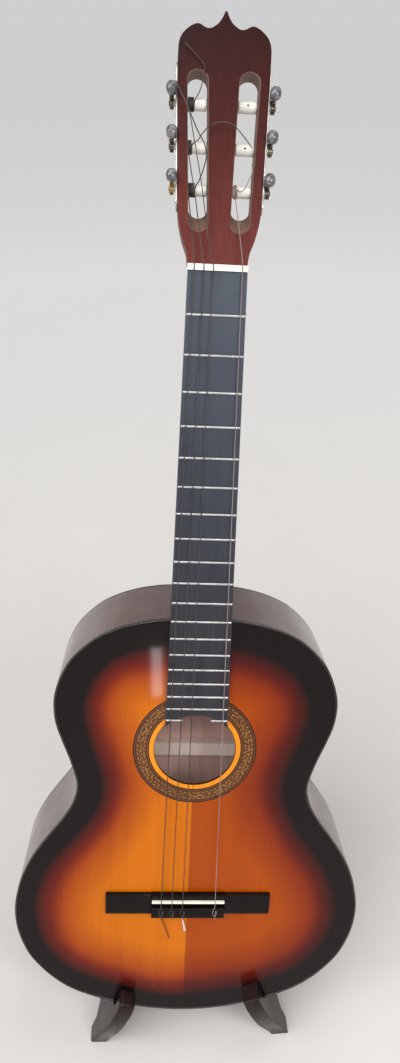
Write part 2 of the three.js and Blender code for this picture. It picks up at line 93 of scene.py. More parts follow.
# place, target, size in metres, power and colour of each soft panel
studio = {
    "window": ((-2.0, -0.7, 1.9), (0, 0, 0.5), (1.2, 1.2), 18, (1.0, 0.985, 0.96)),
    "ceiling": ((0.7, 0.6, 2.9), (0, 0, 0.5), (2.0, 2.0), 18, (1.0, 0.98, 0.95)),
    "besideCamera": ((0.55, -0.95, 1.35), (0, 0.02, 0.4), (0.4, 0.4), 8, (1.0, 0.97, 0.94)),
    "glint": ((-0.06, -1.95, 0.135), (-0.03, 0.0, 0.5), (0.035, 0.16), 0.32, (1.0, 0.98, 0.95)),
}
sky = {
    "power": 2.0, "softness": 50, "turn": (32, -24),
    "colour": (0.93, 0.93, 0.95), "strength": 0.30, "horizon": 0.672,
}


def makeLight(name, place, target, size, power, colour):
    data = bpy.data.lights.new(name, "AREA")
    data.shape = "RECTANGLE"
    data.size, data.size_y = size
    data.energy = power
    data.color = colour
    lamp = bpy.data.objects.new(name, data)
    lamp.location = place
    lamp.rotation_euler = (Vector(target) - Vector(place)).to_track_quat("-Z", "Y").to_euler()
    bpy.context.scene.collection.objects.link(lamp)


def makeSky():
    data = bpy.data.lights.new("skylight", "SUN")
    data.energy = sky["power"]
    data.angle = math.radians(sky["softness"])
    lamp = bpy.data.objects.new("skylight", data)
    lamp.rotation_euler = (*[math.radians(a) for a in sky["turn"]], 0)
    bpy.context.scene.collection.objects.link(lamp)
    world = bpy.data.worlds.new("studio")
    world.use_nodes = True
    tree = world.node_tree
    tree.nodes["Background"].inputs["Color"].default_value = (*sky["colour"], 1)
    seen = tree.nodes.new("ShaderNodeMix")  # what the camera sees behind the floor meets its tone
    seen.inputs["A"].default_value = sky["strength"]
    seen.inputs["B"].default_value = sky["horizon"]
    tree.links.new(tree.nodes.new("ShaderNodeLightPath").outputs["Is Camera Ray"], seen.inputs["Factor"])
    tree.links.new(seen.outputs["Result"], tree.nodes["Background"].inputs["Strength"])
    bpy.context.scene.world = world
    bpy.context.scene.view_settings.view_transform = "Standard"


makeCamera()
for name, settings in studio.items():
    makeLight(name, *settings)
makeSky()
print("camera and lights placed")

# Node helpers


# Short calls for adding and wiring shader nodes
class Nodes:
    def __init__(self, tree):
        self.tree = tree

    def add(self, kind, inputs=None, **settings):
        node = self.tree.nodes.new(kind)
        for key, value in settings.items():
            setattr(node, key, value)
        for key, value in (inputs or {}).items():
            self.feed(node.inputs[key], value)
        return node

    def feed(self, socket, value):
        if isinstance(value, bpy.types.NodeSocket):
            self.tree.links.new(value, socket)
        elif isinstance(value, bpy.types.Node):
            self.tree.links.new(value.outputs[0], socket)
        else:
            if isinstance(value, tuple) and len(value) == 3 and socket.type == "RGBA":
                value = (*value, 1)
            socket.default_value = value

    def math(self, kind, a, b=0.0, clamp=False):
        return self.add("ShaderNodeMath", {0: a, 1: b}, operation=kind, use_clamp=clamp).outputs[0]

    def vector(self, x=0.0, y=0.0, z=0.0):
        return self.add("ShaderNodeCombineXYZ", {"X": x, "Y": y, "Z": z}).outputs[0]

    def split(self, vector):
        return self.add("ShaderNodeSeparateXYZ", {"Vector": vector}).outputs

    def noise(self, vector, scale, detail=3.0, roughness=0.55, distortion=0.0):
        node = self.add("ShaderNodeTexNoise", {
            "Vector": vector, "Scale": scale, "Detail": detail,
            "Roughness": roughness, "Distortion": distortion,
        })
        return node.outputs["Fac"]

    def stretch(self, vector, scale):
        return self.add("ShaderNodeMapping", {"Vector": vector, "Scale": scale}).outputs[0]

    def ramp(self, value, stops):
        node = self.add("ShaderNodeValToRGB", {"Fac": value})
        band = node.color_ramp
        while len(band.elements) < len(stops):
            band.elements.new(0.5)
        for element, (place, colour) in zip(band.elements, stops):
            element.position = place
            element.color = (*colour, 1) if len(colour) == 3 else colour
        return node.outputs["Color"]

    def mask(self, value, low, high):
        node = self.add("ShaderNodeMapRange", {"Value": value, "From Min": low, "From Max": high})
        return node.outputs["Result"]

    def blendColour(self, factor, a, b, kind="MIX"):
        node = self.add("ShaderNodeMix", data_type="RGBA", blend_type=kind)
        self.feed(node.inputs["Factor"], factor)
        self.feed(node.inputs["A"], a)
        self.feed(node.inputs["B"], b)
        return node.outputs["Result"]

    def attribute(self, name, output="Vector"):
        return self.add("ShaderNodeAttribute", attribute_name=name).outputs[output]


def newGroup(name, inputs, outputs, kind="ShaderNodeTree"):
    tree = bpy.data.node_groups.new(name, kind)
    for label, socketType, value in inputs:
        socket = tree.interface.new_socket(label, in_out="INPUT", socket_type=socketType)
        if value is not None:
            socket.default_value = value
    for label, socketType in outputs:
        tree.interface.new_socket(label, in_out="OUTPUT", socket_type=socketType)
    kit = Nodes(tree)
    return kit, kit.add("NodeGroupInput").outputs, kit.add("NodeGroupOutput").inputs


def makeWoodGrainGroup():
    kit, given, result = newGroup("woodGrain", [
        ("Vector", "NodeSocketVector", None),
        ("Dark", "NodeSocketColor", (0.1, 0.04, 0.02, 1)),
        ("Light", "NodeSocketColor", (0.3, 0.12, 0.07, 1)),
        ("Line Scale", "NodeSocketFloat", 260.0),
        ("Pores", "NodeSocketFloat", 0.5),
    ], [("Color", "NodeSocketColor"), ("Height", "NodeSocketFloat")])
    along = kit.stretch(given["Vector"], (1.0, 1.0, 0.045))
    lines = kit.noise(along, given["Line Scale"], 4.0, 0.6)
    broad = kit.noise(kit.stretch(given["Vector"], (1.0, 1.0, 0.18)), 22.0, 3.0, 0.55, 0.6)
    both = kit.math("ADD", kit.math("MULTIPLY", lines, 0.55), kit.math("MULTIPLY", broad, 0.5))
    shade = kit.mask(both, 0.34, 0.72)
    poreSpace = kit.stretch(given["Vector"], (1.0, 1.0, 0.03))
    pores = kit.mask(kit.noise(poreSpace, 900.0, 2.0), 0.60, 0.70)
    poreDepth = kit.math("MULTIPLY", pores, given["Pores"])
    colour = kit.blendColour(shade, given["Dark"], given["Light"])
    kit.feed(result["Color"], kit.blendColour(poreDepth, colour, given["Dark"]))
    kit.feed(result["Height"], kit.math("SUBTRACT", shade, poreDepth))
    return kit.tree


def makeWearGroup():
    kit, given, result = newGroup("handWear", [
        ("Vector", "NodeSocketVector", None),
        ("Base", "NodeSocketFloat", 0.3),
        ("Amount", "NodeSocketFloat", 0.2),
    ], [("Roughness", "NodeSocketFloat"), ("Height", "NodeSocketFloat"), ("Smudge", "NodeSocketFloat")])
    cloud = kit.noise(given["Vector"], 14.0, 5.0, 0.6)
    fine = kit.noise(given["Vector"], 190.0, 2.0)
    scratchSpace = kit.stretch(given["Vector"], (1.0, 1.0, 0.05))
    scratches = kit.mask(kit.noise(scratchSpace, 420.0, 1.0), 0.69, 0.74)
    spots = kit.mask(kit.noise(given["Vector"], 9.0, 2.0), 0.5, 0.65)
    scratches = kit.math("MULTIPLY", scratches, spots)
    smudge = kit.mask(cloud, 0.35, 0.7)
    rise = kit.math("MULTIPLY", smudge, given["Amount"])
    rise = kit.math("ADD", rise, kit.math("MULTIPLY", scratches, 0.25))
    kit.feed(result["Roughness"], kit.math("ADD", given["Base"], rise, True))
    kit.feed(result["Height"], kit.math("SUBTRACT", kit.math("MULTIPLY", fine, 0.15), scratches))
    kit.feed(result["Smudge"], smudge)
    return kit.tree


woodGrain = makeWoodGrainGroup()
handWear = makeWearGroup()


def startMaterial(name):
    material = bpy.data.materials.new(name)
    material.use_nodes = True
    kit = Nodes(material.node_tree)
    shader = kit.tree.nodes["Principled BSDF"]
    return material, kit, shader


def useGroup(kit, tree, inputs):
    node = kit.add("ShaderNodeGroup", node_tree=tree)
    for key, value in inputs.items():
        kit.feed(node.inputs[key], value)
    return node


# Even values of a finish, set on the shader itself
def dress(shader, coat=0.0, coatRough=0.03, gloss=0.5, metal=0.0):
    shader.inputs["Coat Weight"].default_value = coat
    shader.inputs["Coat Roughness"].default_value = coatRough
    shader.inputs["Specular IOR Level"].default_value = gloss
    shader.inputs["Metallic"].default_value = metal


# Roughness with smudges and scratches; gives back their height
def addWear(kit, shader, space, base, amount):
    wear = useGroup(kit, handWear, {"Vector": space, "Base": base, "Amount": amount})
    kit.feed(shader.inputs["Roughness"], wear.outputs["Roughness"])
    return wear.outputs["Height"]


def addBump(kit, shader, height, strength, distance):
    bump = kit.add("ShaderNodeBump", {"Height": height, "Strength": strength, "Distance": distance})
    kit.feed(shader.inputs["Normal"], bump.outputs["Normal"])


# Finishes

body = {"holeCentre": 470.5}


sunburst = {
    "tones": ((0.58, 0.142, 0.0), (0.365, 0.058, 0.0)),  # left and right half of the top
    "reds": ((0.24, 0.016, 0.004), (0.15, 0.010, 0.004)),
    "black": (0.0075, 0.0042, 0.0045),
    "ring": (0.82, 0.27, 0.012),  # bare wood between the hole and the rosette
    "line": (0.05, 0.014, 0.006),
    "seam": (0.05, 0.012, 0.004),
    "blackBand": (0.022, 0.052),
    "redBand": (0.038, 0.088),
}


def makeSunburst():
    material, kit, shader = startMaterial("sunburstLacquer")
    plan = kit.attribute("plan")
    across = kit.split(plan)["X"]
    cloud = kit.noise(kit.stretch(plan, (1.0, 1.0, 0.6)), 9.0, 2.0)
    uneven = kit.math("MULTIPLY", kit.math("SUBTRACT", cloud, 0.5), 0.018)
    spread = kit.math("ADD", kit.attribute("rim", "Fac"), uneven)
    side = kit.mask(across, -0.0006, 0.0006)
    centre = kit.blendColour(side, *sunburst["tones"])
    red = kit.blendColour(side, *sunburst["reds"])
    colour = kit.blendColour(kit.mask(spread, *sunburst["redBand"]), red, centre)
    colour = kit.blendColour(kit.mask(spread, *sunburst["blackBand"]), sunburst["black"], colour)
    hole = (0, 0, -body["holeCentre"] * mm)
    fromHole = kit.add("ShaderNodeVectorMath", {0: plan, 1: hole}, operation="DISTANCE").outputs["Value"]
    for near, far, tone in ((0.0476, 0.0478, "ring"), (0.0424, 0.0430, "line")):
        inner = kit.math("SUBTRACT", 1.0, kit.mask(fromHole, near, far))
        colour = kit.blendColour(inner, colour, sunburst[tone])
    lines = kit.noise(kit.stretch(plan, (1.0, 1.0, 0.012)), 620.0, 3.0, 0.6)
    broad = kit.noise(kit.stretch(plan, (1.0, 1.0, 0.05)), 46.0, 3.0)
    tone = kit.math("ADD", kit.math("MULTIPLY", lines, 0.5), kit.math("MULTIPLY", broad, 0.5))
    grain = kit.ramp(tone, [(0.32, (0.84, 0.78, 0.72)), (0.5, (0.97, 0.96, 0.94)), (0.66, (1.05, 1.04, 1.0))])
    colour = kit.blendColour(1.0, colour, grain, "MULTIPLY")
    seamLine = kit.math("SUBTRACT", 1.0, kit.mask(kit.math("ABSOLUTE", across), 0.0002, 0.0007))
    colour = kit.blendColour(kit.math("MULTIPLY", seamLine, 0.35), colour, sunburst["seam"])
    kit.feed(shader.inputs["Base Color"], colour)
    worn = addWear(kit, shader, plan, 0.2, 0.12)
    dress(shader, 0.28, 0.05, 0.06)
    addBump(kit, shader, kit.math("ADD", worn, kit.math("MULTIPLY", lines, 0.9)), 0.12, 0.0004)
    return material


def makeWood(name, dark, light, rough, coat, lineScale=260.0, pores=0.5, bump=0.2, where="plan",
             gloss=0.5):
    material, kit, shader = startMaterial(name)
    if where == "plan":
        space = kit.attribute("plan")
    else:
        space = kit.add("ShaderNodeTexCoord").outputs["Object"]
    grain = useGroup(kit, woodGrain, {
        "Vector": space, "Dark": dark, "Light": light, "Line Scale": lineScale, "Pores": pores,
    })
    kit.feed(shader.inputs["Base Color"], grain.outputs["Color"])
    worn = addWear(kit, shader, space, rough, 0.14)
    dress(shader, coat, 0.08, gloss)
    addBump(kit, shader, kit.math("ADD", grain.outputs["Height"], worn), bump, 0.0004)
    return material


def makeNeckWood():
    material, kit, shader = startMaterial("neckMahogany")
    plan = kit.attribute("plan")
    grain = useGroup(kit, woodGrain, {
        "Vector": plan, "Dark": (0.078, 0.014, 0.011), "Light": (0.142, 0.029, 0.024),
        "Line Scale": 300.0, "Pores": 0.4,
    })
    # Painted sheen and shade by height: the neck and the head near the nut are lit up, and the head darkens
    # towards its tip.
    height = kit.split(plan)["Z"]
    paintedSheenAndShade = kit.ramp(kit.mask(height, 0.0, 0.2), [(0.0, (1.2, 1.2, 1.15)), (0.3, (0.85, 0.72, 0.68)),
                                                 (0.6, (0.5, 0.36, 0.34)), (0.95, (0.2, 0.12, 0.12))])
    colour = kit.blendColour(1.0, grain.outputs["Color"], paintedSheenAndShade, "MULTIPLY")
    kit.feed(shader.inputs["Base Color"], colour)
    worn = addWear(kit, shader, plan, 0.36, 0.14)
    dress(shader, gloss=0.14)
    addBump(kit, shader, kit.math("ADD", grain.outputs["Height"], worn), 0.16, 0.0004)
    return material


def makePlastic(name, base, dark, rough, coat=0.2, metal=0.0, scale=60.0):
    material, kit, shader = startMaterial(name)
    plan = kit.attribute("plan")
    cloud = kit.mask(kit.noise(plan, scale, 4.0, 0.6, 0.4), 0.36, 0.68)
    kit.feed(shader.inputs["Base Color"], kit.blendColour(cloud, base, dark))
    worn = addWear(kit, shader, plan, rough, 0.14)
    dress(shader, coat, 0.1, metal=metal)
    addBump(kit, shader, worn, 0.06, 0.0003)
    return material


def makeFretboardWood():
    material, kit, shader = startMaterial("fretboardWood")
    plan = kit.attribute("plan")
    grain = useGroup(kit, woodGrain, {
        "Vector": plan, "Dark": (0.012, 0.011, 0.015), "Light": (0.036, 0.035, 0.044),
        "Line Scale": 420.0, "Pores": 0.3,
    })
    # The end towards the nut takes a bluish painted sheen; the rubbed patches there are wear.
    height = kit.split(plan)["Z"]
    upper = kit.mask(height, -0.36, 0.0)
    colour = kit.blendColour(upper, grain.outputs["Color"], (0.050, 0.062, 0.086))
    rubbed = kit.noise(kit.stretch(plan, (1.0, 1.0, 0.35)), 60.0, 3.0)
    rubbed = kit.math("MULTIPLY", kit.mask(rubbed, 0.56, 0.7), upper)
    colour = kit.blendColour(kit.math("MULTIPLY", rubbed, 0.6), colour, (0.022, 0.022, 0.03))
    kit.feed(shader.inputs["Base Color"], colour)
    worn = addWear(kit, shader, plan, 0.34, 0.2)
    dress(shader, gloss=0.35)
    addBump(kit, shader, kit.math("ADD", grain.outputs["Height"], worn), 0.18, 0.0004)
    return material


def makeMosaic():
    material, kit, shader = startMaterial("rosetteMosaic")
    ring = kit.split(kit.attribute("ring"))
    radius, turn = ring["X"], ring["Y"]
    tile = kit.vector(kit.math("MULTIPLY", turn, 300.0), kit.math("MULTIPLY", radius, 900.0))
    cells = kit.add("ShaderNodeTexVoronoi", {"Vector": tile, "Scale": 1.0, "Randomness": 0.7})
    cellTone = kit.add("ShaderNodeSeparateColor", {"Color": cells.outputs["Color"]}).outputs["Red"]
    mosaic = kit.ramp(cellTone, [(0.0, (0.040, 0.012, 0.005)), (0.5, (0.10, 0.036, 0.010)),
                                 (0.8, (0.19, 0.075, 0.018))])
    around = kit.math("MULTIPLY", turn, 2 * math.pi)
    for count, centre, swing, half in ((36, 0.0558, 0.0010, 0.0004), (72, 0.0525, 0.0, 0.0004),
                                       (72, 0.0593, 0.0, 0.0004)):
        wave = kit.math("SINE", kit.math("MULTIPLY", around, count))
        middle = kit.math("ADD", centre, kit.math("MULTIPLY", wave, swing))
        away = kit.math("ABSOLUTE", kit.math("SUBTRACT", radius, middle))
        line = kit.math("SUBTRACT", 1.0, kit.mask(away, half * 0.6, half))
        dots = kit.mask(wave, 0.2, 0.5) if swing == 0.0 else kit.mask(cellTone, 0.25, 0.5)
        mosaic = kit.blendColour(kit.math("MULTIPLY", line, dots), mosaic, (0.50, 0.22, 0.04))
    bands = kit.ramp(kit.mask(radius, 0.0475, 0.0640), [
        (0.0, (0.022, 0.006, 0.004)), (0.08, (0.20, 0.07, 0.015)), (0.13, (0.03, 0.008, 0.005)),
        (0.19, (1, 1, 1)), (0.80, (0.03, 0.008, 0.005)), (0.86, (0.17, 0.06, 0.015)),
        (0.91, (0.022, 0.006, 0.004)),
    ])
    bands.node.color_ramp.interpolation = "CONSTANT"
    blue = kit.add("ShaderNodeSeparateColor", {"Color": bands}).outputs["Blue"]
    isMosaic = kit.math("GREATER_THAN", blue, 0.9)
    kit.feed(shader.inputs["Base Color"], kit.blendColour(isMosaic, bands, mosaic))
    addWear(kit, shader, kit.attribute("plan"), 0.16, 0.14)
    dress(shader, 0.3, 0.06, 0.15)
    addBump(kit, shader, cells.outputs["Distance"], 0.06, 0.0002)
    return material


def makeString(name, base, dark, rough, metal, windings):
    material, kit, shader = startMaterial(name)
    along = kit.split(kit.attribute("along"))["X"]
    turns = kit.math("SINE", kit.math("MULTIPLY", along, 2 * math.pi * windings))
    groove = kit.mask(turns, -1.0, 1.0)
    tarnish = kit.mask(kit.noise(kit.attribute("plan"), 40.0, 3.0), 0.4, 0.7)
    # Painted shade darkens the grooves between the windings; tarnish darkens at random.
    shade = kit.math("MULTIPLY", kit.math("SUBTRACT", 1.0, groove), 0.6)
    colour = kit.blendColour(kit.math("MAXIMUM", shade, tarnish), base, dark)
    kit.feed(shader.inputs["Base Color"], colour)
    kit.feed(shader.inputs["Roughness"], kit.math("ADD", rough, kit.math("MULTIPLY", tarnish, 0.2)))
    dress(shader, metal=metal)
    addBump(kit, shader, groove, 0.4, 0.00015)
    return material


def makePearl():
    material, kit, shader = startMaterial("greyPearl")
    plan = kit.attribute("plan")
    swirl = kit.noise(plan, 130.0, 3.0, 0.55, 1.6)
    colour = kit.ramp(swirl, [(0.3, (0.045, 0.043, 0.052)), (0.48, (0.10, 0.095, 0.11)),
                              (0.6, (0.20, 0.19, 0.205)), (0.75, (0.085, 0.08, 0.10))])
    kit.feed(shader.inputs["Base Color"], colour)
    kit.feed(shader.inputs["Roughness"], kit.math("ADD", 0.16, kit.math("MULTIPLY", swirl, 0.16)))
    dress(shader, 0.45, 0.06, 0.6)
    addBump(kit, shader, swirl, 0.05, 0.0003)
    return material


finish = {
    "sunburst": makeSunburst(),
    "mahogany": makeWood("mahoganyLacquer", (0.085, 0.050, 0.044), (0.15, 0.092, 0.082), 0.22, 0.4),
    # The bare inner wood is pale of itself and is painted lighter still, standing in for light inside the
    # body.
    "innerWoodAndPaintedLight": makeWood("innerWoodWithPaintedLight", (0.82, 0.66, 0.58), (0.95, 0.82, 0.74), 0.7, 0.0, 180.0, 0.3),
    "innerBackAndPaintedLight": makeWood("backInsideWithPaintedLight", (0.58, 0.36, 0.31), (0.80, 0.56, 0.50), 0.7, 0.0, 160.0, 0.3),
    "neck": makeNeckWood(),
    "slotWood": makeWood("slotEndWood", (0.10, 0.045, 0.03), (0.20, 0.11, 0.08), 0.55, 0.0, 300.0, 0.5),
    "fretboard": makeFretboardWood(),
    "bridge": makeWood("bridgeBlack", (0.003, 0.002, 0.002), (0.009, 0.006, 0.006), 0.2, 0.12, 420.0, 0.4,
                       gloss=0.08),
    "binding": makePlastic("bindingBlack", (0.010, 0.007, 0.007), (0.02, 0.014, 0.012), 0.22, 0.4),
    "mosaic": makeMosaic(),
    "ivory": makePlastic("ivoryPlastic", (0.93, 0.91, 0.82), (0.80, 0.77, 0.64), 0.36, 0.2),
    "roller": makePlastic("rollerWhite", (0.78, 0.76, 0.70), (0.62, 0.60, 0.55), 0.34, 0.2),
    "nickel": makePlastic("nickelWorn", (0.70, 0.68, 0.64), (0.46, 0.44, 0.41), 0.26, 0.0, 1.0, 90.0),
    "fretWire": makePlastic("fretWire", (0.66, 0.66, 0.66), (0.48, 0.47, 0.46), 0.26, 0.0, 1.0, 120.0),
    "gear": makePlastic("gearMetal", (0.26, 0.23, 0.19), (0.10, 0.08, 0.065), 0.36, 0.0, 1.0, 90.0),
    "brass": makePlastic("brassWorn", (0.56, 0.42, 0.18), (0.26, 0.19, 0.09), 0.34, 0.0, 1.0, 90.0),
    "pearl": makePearl(),
    "wound": makeString("woundString", (0.10, 0.088, 0.08), (0.03, 0.026, 0.024), 0.38, 0.5, 1500.0),
    "floss": makePlastic("flossCore", (0.90, 0.80, 0.76), (0.72, 0.56, 0.52), 0.5, 0.0),
    "nylon": makeString("nylonString", (0.30, 0.23, 0.22), (0.18, 0.13, 0.125), 0.25, 0.0, 1.0),
    "stand": makeWood("standWalnut", (0.006, 0.003, 0.003), (0.022, 0.010, 0.009), 0.26, 0.12, 150.0, 0.6,
                      0.25, "object", 0.18),
}
print("finishes made")

# Mesh helpers


def finishMesh(bm, name, smoothAngle):
    bmesh.ops.remove_doubles(bm, verts=bm.verts, dist=1e-5)
    bmesh.ops.recalc_face_normals(bm, faces=bm.faces)
    for face in bm.faces:
        face.smooth = True
    limit = math.radians(smoothAngle)
    for edge in bm.edges:
        if len(edge.link_faces) == 2:
            edge.smooth = edge.calc_face_angle(0) < limit
    mesh = bpy.data.meshes.new(name)
    bm.to_mesh(mesh)
    bm.free()
    return flatFacesFirst(mesh)


# Weighted normals, so that a rounded edge doesn't shade the broad flat beside it
def flatFacesFirst(mesh):
    holder = bpy.data.objects.new(mesh.name, mesh)
    bpy.context.scene.collection.objects.link(holder)
    modifier = holder.modifiers.new("weighted", "WEIGHTED_NORMAL")
    modifier.keep_sharp = True
    shown = holder.evaluated_get(bpy.context.evaluated_depsgraph_get())
    weighted = bpy.data.meshes.new_from_object(shown)
    bpy.data.objects.remove(holder)
    bpy.data.meshes.remove(mesh)
    return weighted


# Puts a mesh drawn in millimetres in its place and keeps its own coordinates in plan
def addPiece(name, mesh, body, materials, nodes=(), place=guitarPlace, local=None):
    if local is not None:
        mesh.transform(local)
    points = np.zeros(len(mesh.vertices) * 3, np.float32)
    mesh.vertices.foreach_get("co", points)
    plan = mesh.attributes.new("plan", "FLOAT_VECTOR", "POINT")
    plan.data.foreach_set("vector", points * mm)
    mesh.transform(Matrix.Scale(mm, 4) @ place)
    for material in materials:
        mesh.materials.append(finish[material])
    piece = bpy.data.objects.new(name, mesh)
    bpy.context.scene.collection.objects.link(piece)
    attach(piece, body)
    if nodes:
        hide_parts(*nodes)
    return piece


def inset(points, distance):
    points = np.asarray(points, float)
    first = points - np.roll(points, 1, axis=0)
    second = np.roll(points, -1, axis=0) - points
    first /= np.linalg.norm(first, axis=1)[:, None] + 1e-12
    second /= np.linalg.norm(second, axis=1)[:, None] + 1e-12
    middle = first + second
    middle /= np.linalg.norm(middle, axis=1)[:, None] + 1e-12
    stretch = 1 / np.maximum(0.45, (middle * first).sum(1))
    normal = np.c_[-middle[:, 1], middle[:, 0]]
    return points + normal * (distance * stretch)[:, None]


def counterClockwise(points):
    points = np.asarray(points, float)
    x, y = points[:, 0], points[:, 1]
    area = (x * np.roll(y, -1) - np.roll(x, -1) * y).sum()
    return points if area > 0 else points[::-1].copy()


# (inset, depth) pairs down the side of a plate whose two edges are rounded
def roundedDepths(front, back, rounding, steps=3):
    side = []
    for i in range(steps + 1):
        angle = i / steps * math.pi / 2
        side.append((rounding * (1 - math.sin(angle)), front + rounding * (1 - math.cos(angle))))
    return side + [(a, front + back - d) for a, d in reversed(side)]


# Fills the flat area between the first loop and the other loops
def capFaces(bm, loops, inner=None):
    points, edges, verts = [], [], []
    for loop, flat in loops:
        start = len(points)
        points += [Vector(p) for p in flat]
        verts += loop
        count = len(loop)
        edges += [(start + i, start + (i + 1) % count) for i in range(count)]
    if inner is not None:
        points += [Vector(p) for p in inner[0]]
        verts += inner[1]
    done = geometry.delaunay_2d_cdt(points, edges, [], 1, 1e-6)
    outline = np.array(loops[0][1])
    holes = [np.array(flat) for _, flat in loops[1:]]
    faces = []
    origin = done[3]
    places = np.array([(p.x, p.y) for p in done[0]])
    triangles = np.array([t for t in done[2] if len(t) == 3])
    centres = places[triangles].mean(1)
    keep = insideMany(centres, outline)
    for hole in holes:
        keep &= ~insideMany(centres, hole)
    for triangle in triangles[keep]:
        corners = [verts[origin[i][0]] for i in triangle]
        if len(set(corners)) == 3:
            try:
                faces.append(bm.faces.new(corners))
            except ValueError:
                continue
    return faces


def insideMany(points, polygon):
    x, y = points[:, 0][:, None], points[:, 1][:, None]
    ax, ay = polygon[:, 0][None], polygon[:, 1][None]
    bx, by = np.roll(polygon[:, 0], -1)[None], np.roll(polygon[:, 1], -1)[None]
    crosses = (ay > y) != (by > y)
    reach = (bx - ax) * (y - ay) / np.where(by == ay, 1e-12, by - ay) + ax
    return (crosses & (x < reach)).sum(1) % 2 == 1


# A closed plate from rings of (flat points, depth); the first boundary is the outside
def stackSolid(boundaries, turned, insideGrid=None, inner=0):
    bm = bmesh.new()
    front, back = [], []
    for rings in boundaries:
        loops = [[bm.verts.new(turned(a, b, depth)) for a, b in flat] for flat, depth in rings]
        count = len(loops[0])
        for upper, lower in zip(loops, loops[1:]):
            for i in range(count):
                j = (i + 1) % count
                bm.faces.new((upper[i], upper[j], lower[j], lower[i]))
        front.append((loops[0], rings[0][0]))
        back.append((loops[-1], rings[-1][0]))
    grid = None
    if insideGrid is not None:
        depth = boundaries[0][0][1]
        grid = (insideGrid, [bm.verts.new(turned(a, b, depth)) for a, b in insideGrid])
    capFaces(bm, front, grid)
    for face in capFaces(bm, back):
        face.material_index = inner
    return bm


def flatWise(a, b, depth):
    return (a, depth, b)


def acrossWise(a, b, depth):
    return (depth, a, b)


def upWise(a, b, depth):
    return (a, b, depth)


def plate(outline, front, back, rounding=0.4, holes=(), turned=flatWise, steps=3, inner=0, grid=None):
    outline = counterClockwise(outline)
    depths = roundedDepths(front, back, rounding, steps)
    boundaries = [[(inset(outline, a), d) for a, d in depths]]
    for hole in holes:
        hole = counterClockwise(hole)
        boundaries.append([(inset(hole, -a), d) for a, d in depths])
    return stackSolid(boundaries, turned, grid, inner)


def bar(profile, left, right, rounding=0.3, steps=2):
    return plate(profile, left, right, rounding, turned=acrossWise, steps=steps)


# Evenly spaced points on a smooth curve through the given ones
def smoothPath(points, count, closed=False):
    points = np.asarray(points, float)
    if closed:
        points = np.vstack([points[-1:], points, points[:2]])
    else:
        points = np.vstack([2 * points[0] - points[1], points, 2 * points[-1] - points[-2]])
    dense = []
    for p0, p1, p2, p3 in zip(points, points[1:], points[2:], points[3:]):
        gaps = [max(np.linalg.norm(b - a), 1e-6) ** 0.5 for a, b in ((p0, p1), (p1, p2), (p2, p3))]
        t0, t1 = 0.0, gaps[0]
        t2, t3 = t1 + gaps[1], t1 + gaps[1] + gaps[2]
        for t in np.linspace(t1, t2, 16, endpoint=False):
            a1 = (t1 - t) / (t1 - t0) * p0 + (t - t0) / (t1 - t0) * p1
            a2 = (t2 - t) / (t2 - t1) * p1 + (t - t1) / (t2 - t1) * p2
            a3 = (t3 - t) / (t3 - t2) * p2 + (t - t2) / (t3 - t2) * p3
            b1 = (t2 - t) / (t2 - t0) * a1 + (t - t0) / (t2 - t0) * a2
            b2 = (t3 - t) / (t3 - t1) * a2 + (t - t1) / (t3 - t1) * a3
            dense.append((t2 - t) / (t2 - t1) * b1 + (t - t1) / (t2 - t1) * b2)
    dense.append(points[-2])
    dense = np.array(dense)
    lengths = np.r_[0, np.cumsum(np.linalg.norm(np.diff(dense, axis=0), axis=1))]
    places = np.linspace(0, lengths[-1], count + 1)
    if closed:
        places = places[:-1]
    return np.stack([np.interp(places, lengths, dense[:, k]) for k in range(dense.shape[1])], 1)


def circle(radius, count, x=0.0, z=0.0):
    angles = np.linspace(0, 2 * math.pi, count, endpoint=False)
    return np.c_[x + radius * np.cos(angles), z + radius * np.sin(angles)]


# A closed round tube; along keeps the distance from its start
def tube(points, radius, sides=8):
    points = np.asarray(points, float)
    bm = bmesh.new()
    along = bm.verts.layers.float_vector.new("along")
    tangents = np.gradient(points, axis=0)
    tangents /= np.linalg.norm(tangents, axis=1)[:, None] + 1e-12
    normal = np.cross(tangents[0], (1.0, 0.3, 0.2))
    rings, reach = [], 0.0
    for i, point in enumerate(points):
        if i:
            reach += np.linalg.norm(point - points[i - 1])
        normal = normal - tangents[i] * (normal @ tangents[i])
        normal /= np.linalg.norm(normal) + 1e-12
        other = np.cross(tangents[i], normal)
        ring = []
        for k in range(sides):
            angle = 2 * math.pi * k / sides
            offset = (normal * math.cos(angle) + other * math.sin(angle)) * radius
            vert = bm.verts.new(point + offset)
            vert[along] = (reach * mm, k / sides, 0)
            ring.append(vert)
        rings.append(ring)
    for a, b in zip(rings, rings[1:]):
        for k in range(sides):
            j = (k + 1) % sides
            bm.faces.new((a[k], a[j], b[j], b[k]))
    bm.faces.new(rings[0][::-1])
    bm.faces.new(rings[-1])
    return bm


# Turns (radius, x) pairs about the x axis; both ends close on the axis
def lathe(profile, sides=32):
    bm = bmesh.new()
    rings = []
    for radius, x in profile:
        if radius < 1e-6:
            rings.append([bm.verts.new((x, 0, 0))])
            continue
        angles = [2 * math.pi * k / sides for k in range(sides)]
        rings.append([bm.verts.new((x, radius * math.cos(a), radius * math.sin(a))) for a in angles])
    for a, b in zip(rings, rings[1:]):
        for k in range(sides):
            j = (k + 1) % sides
            corners = [a[k % len(a)], a[j % len(a)], b[j % len(b)], b[k % len(b)]]
            corners = list(dict.fromkeys(corners))
            if len(corners) >= 3:
                bm.faces.new(corners)
    return bm


# Adds a copy of one bmesh to another, moved by a matrix
def merge(target, source, move=None):
    made = {}
    for vert in source.verts:
        made[vert] = target.verts.new(move @ vert.co if move else vert.co)
    for face in source.faces:
        copy = target.faces.new([made[v] for v in face.verts])
        copy.material_index = face.material_index
    source.free()
    return target


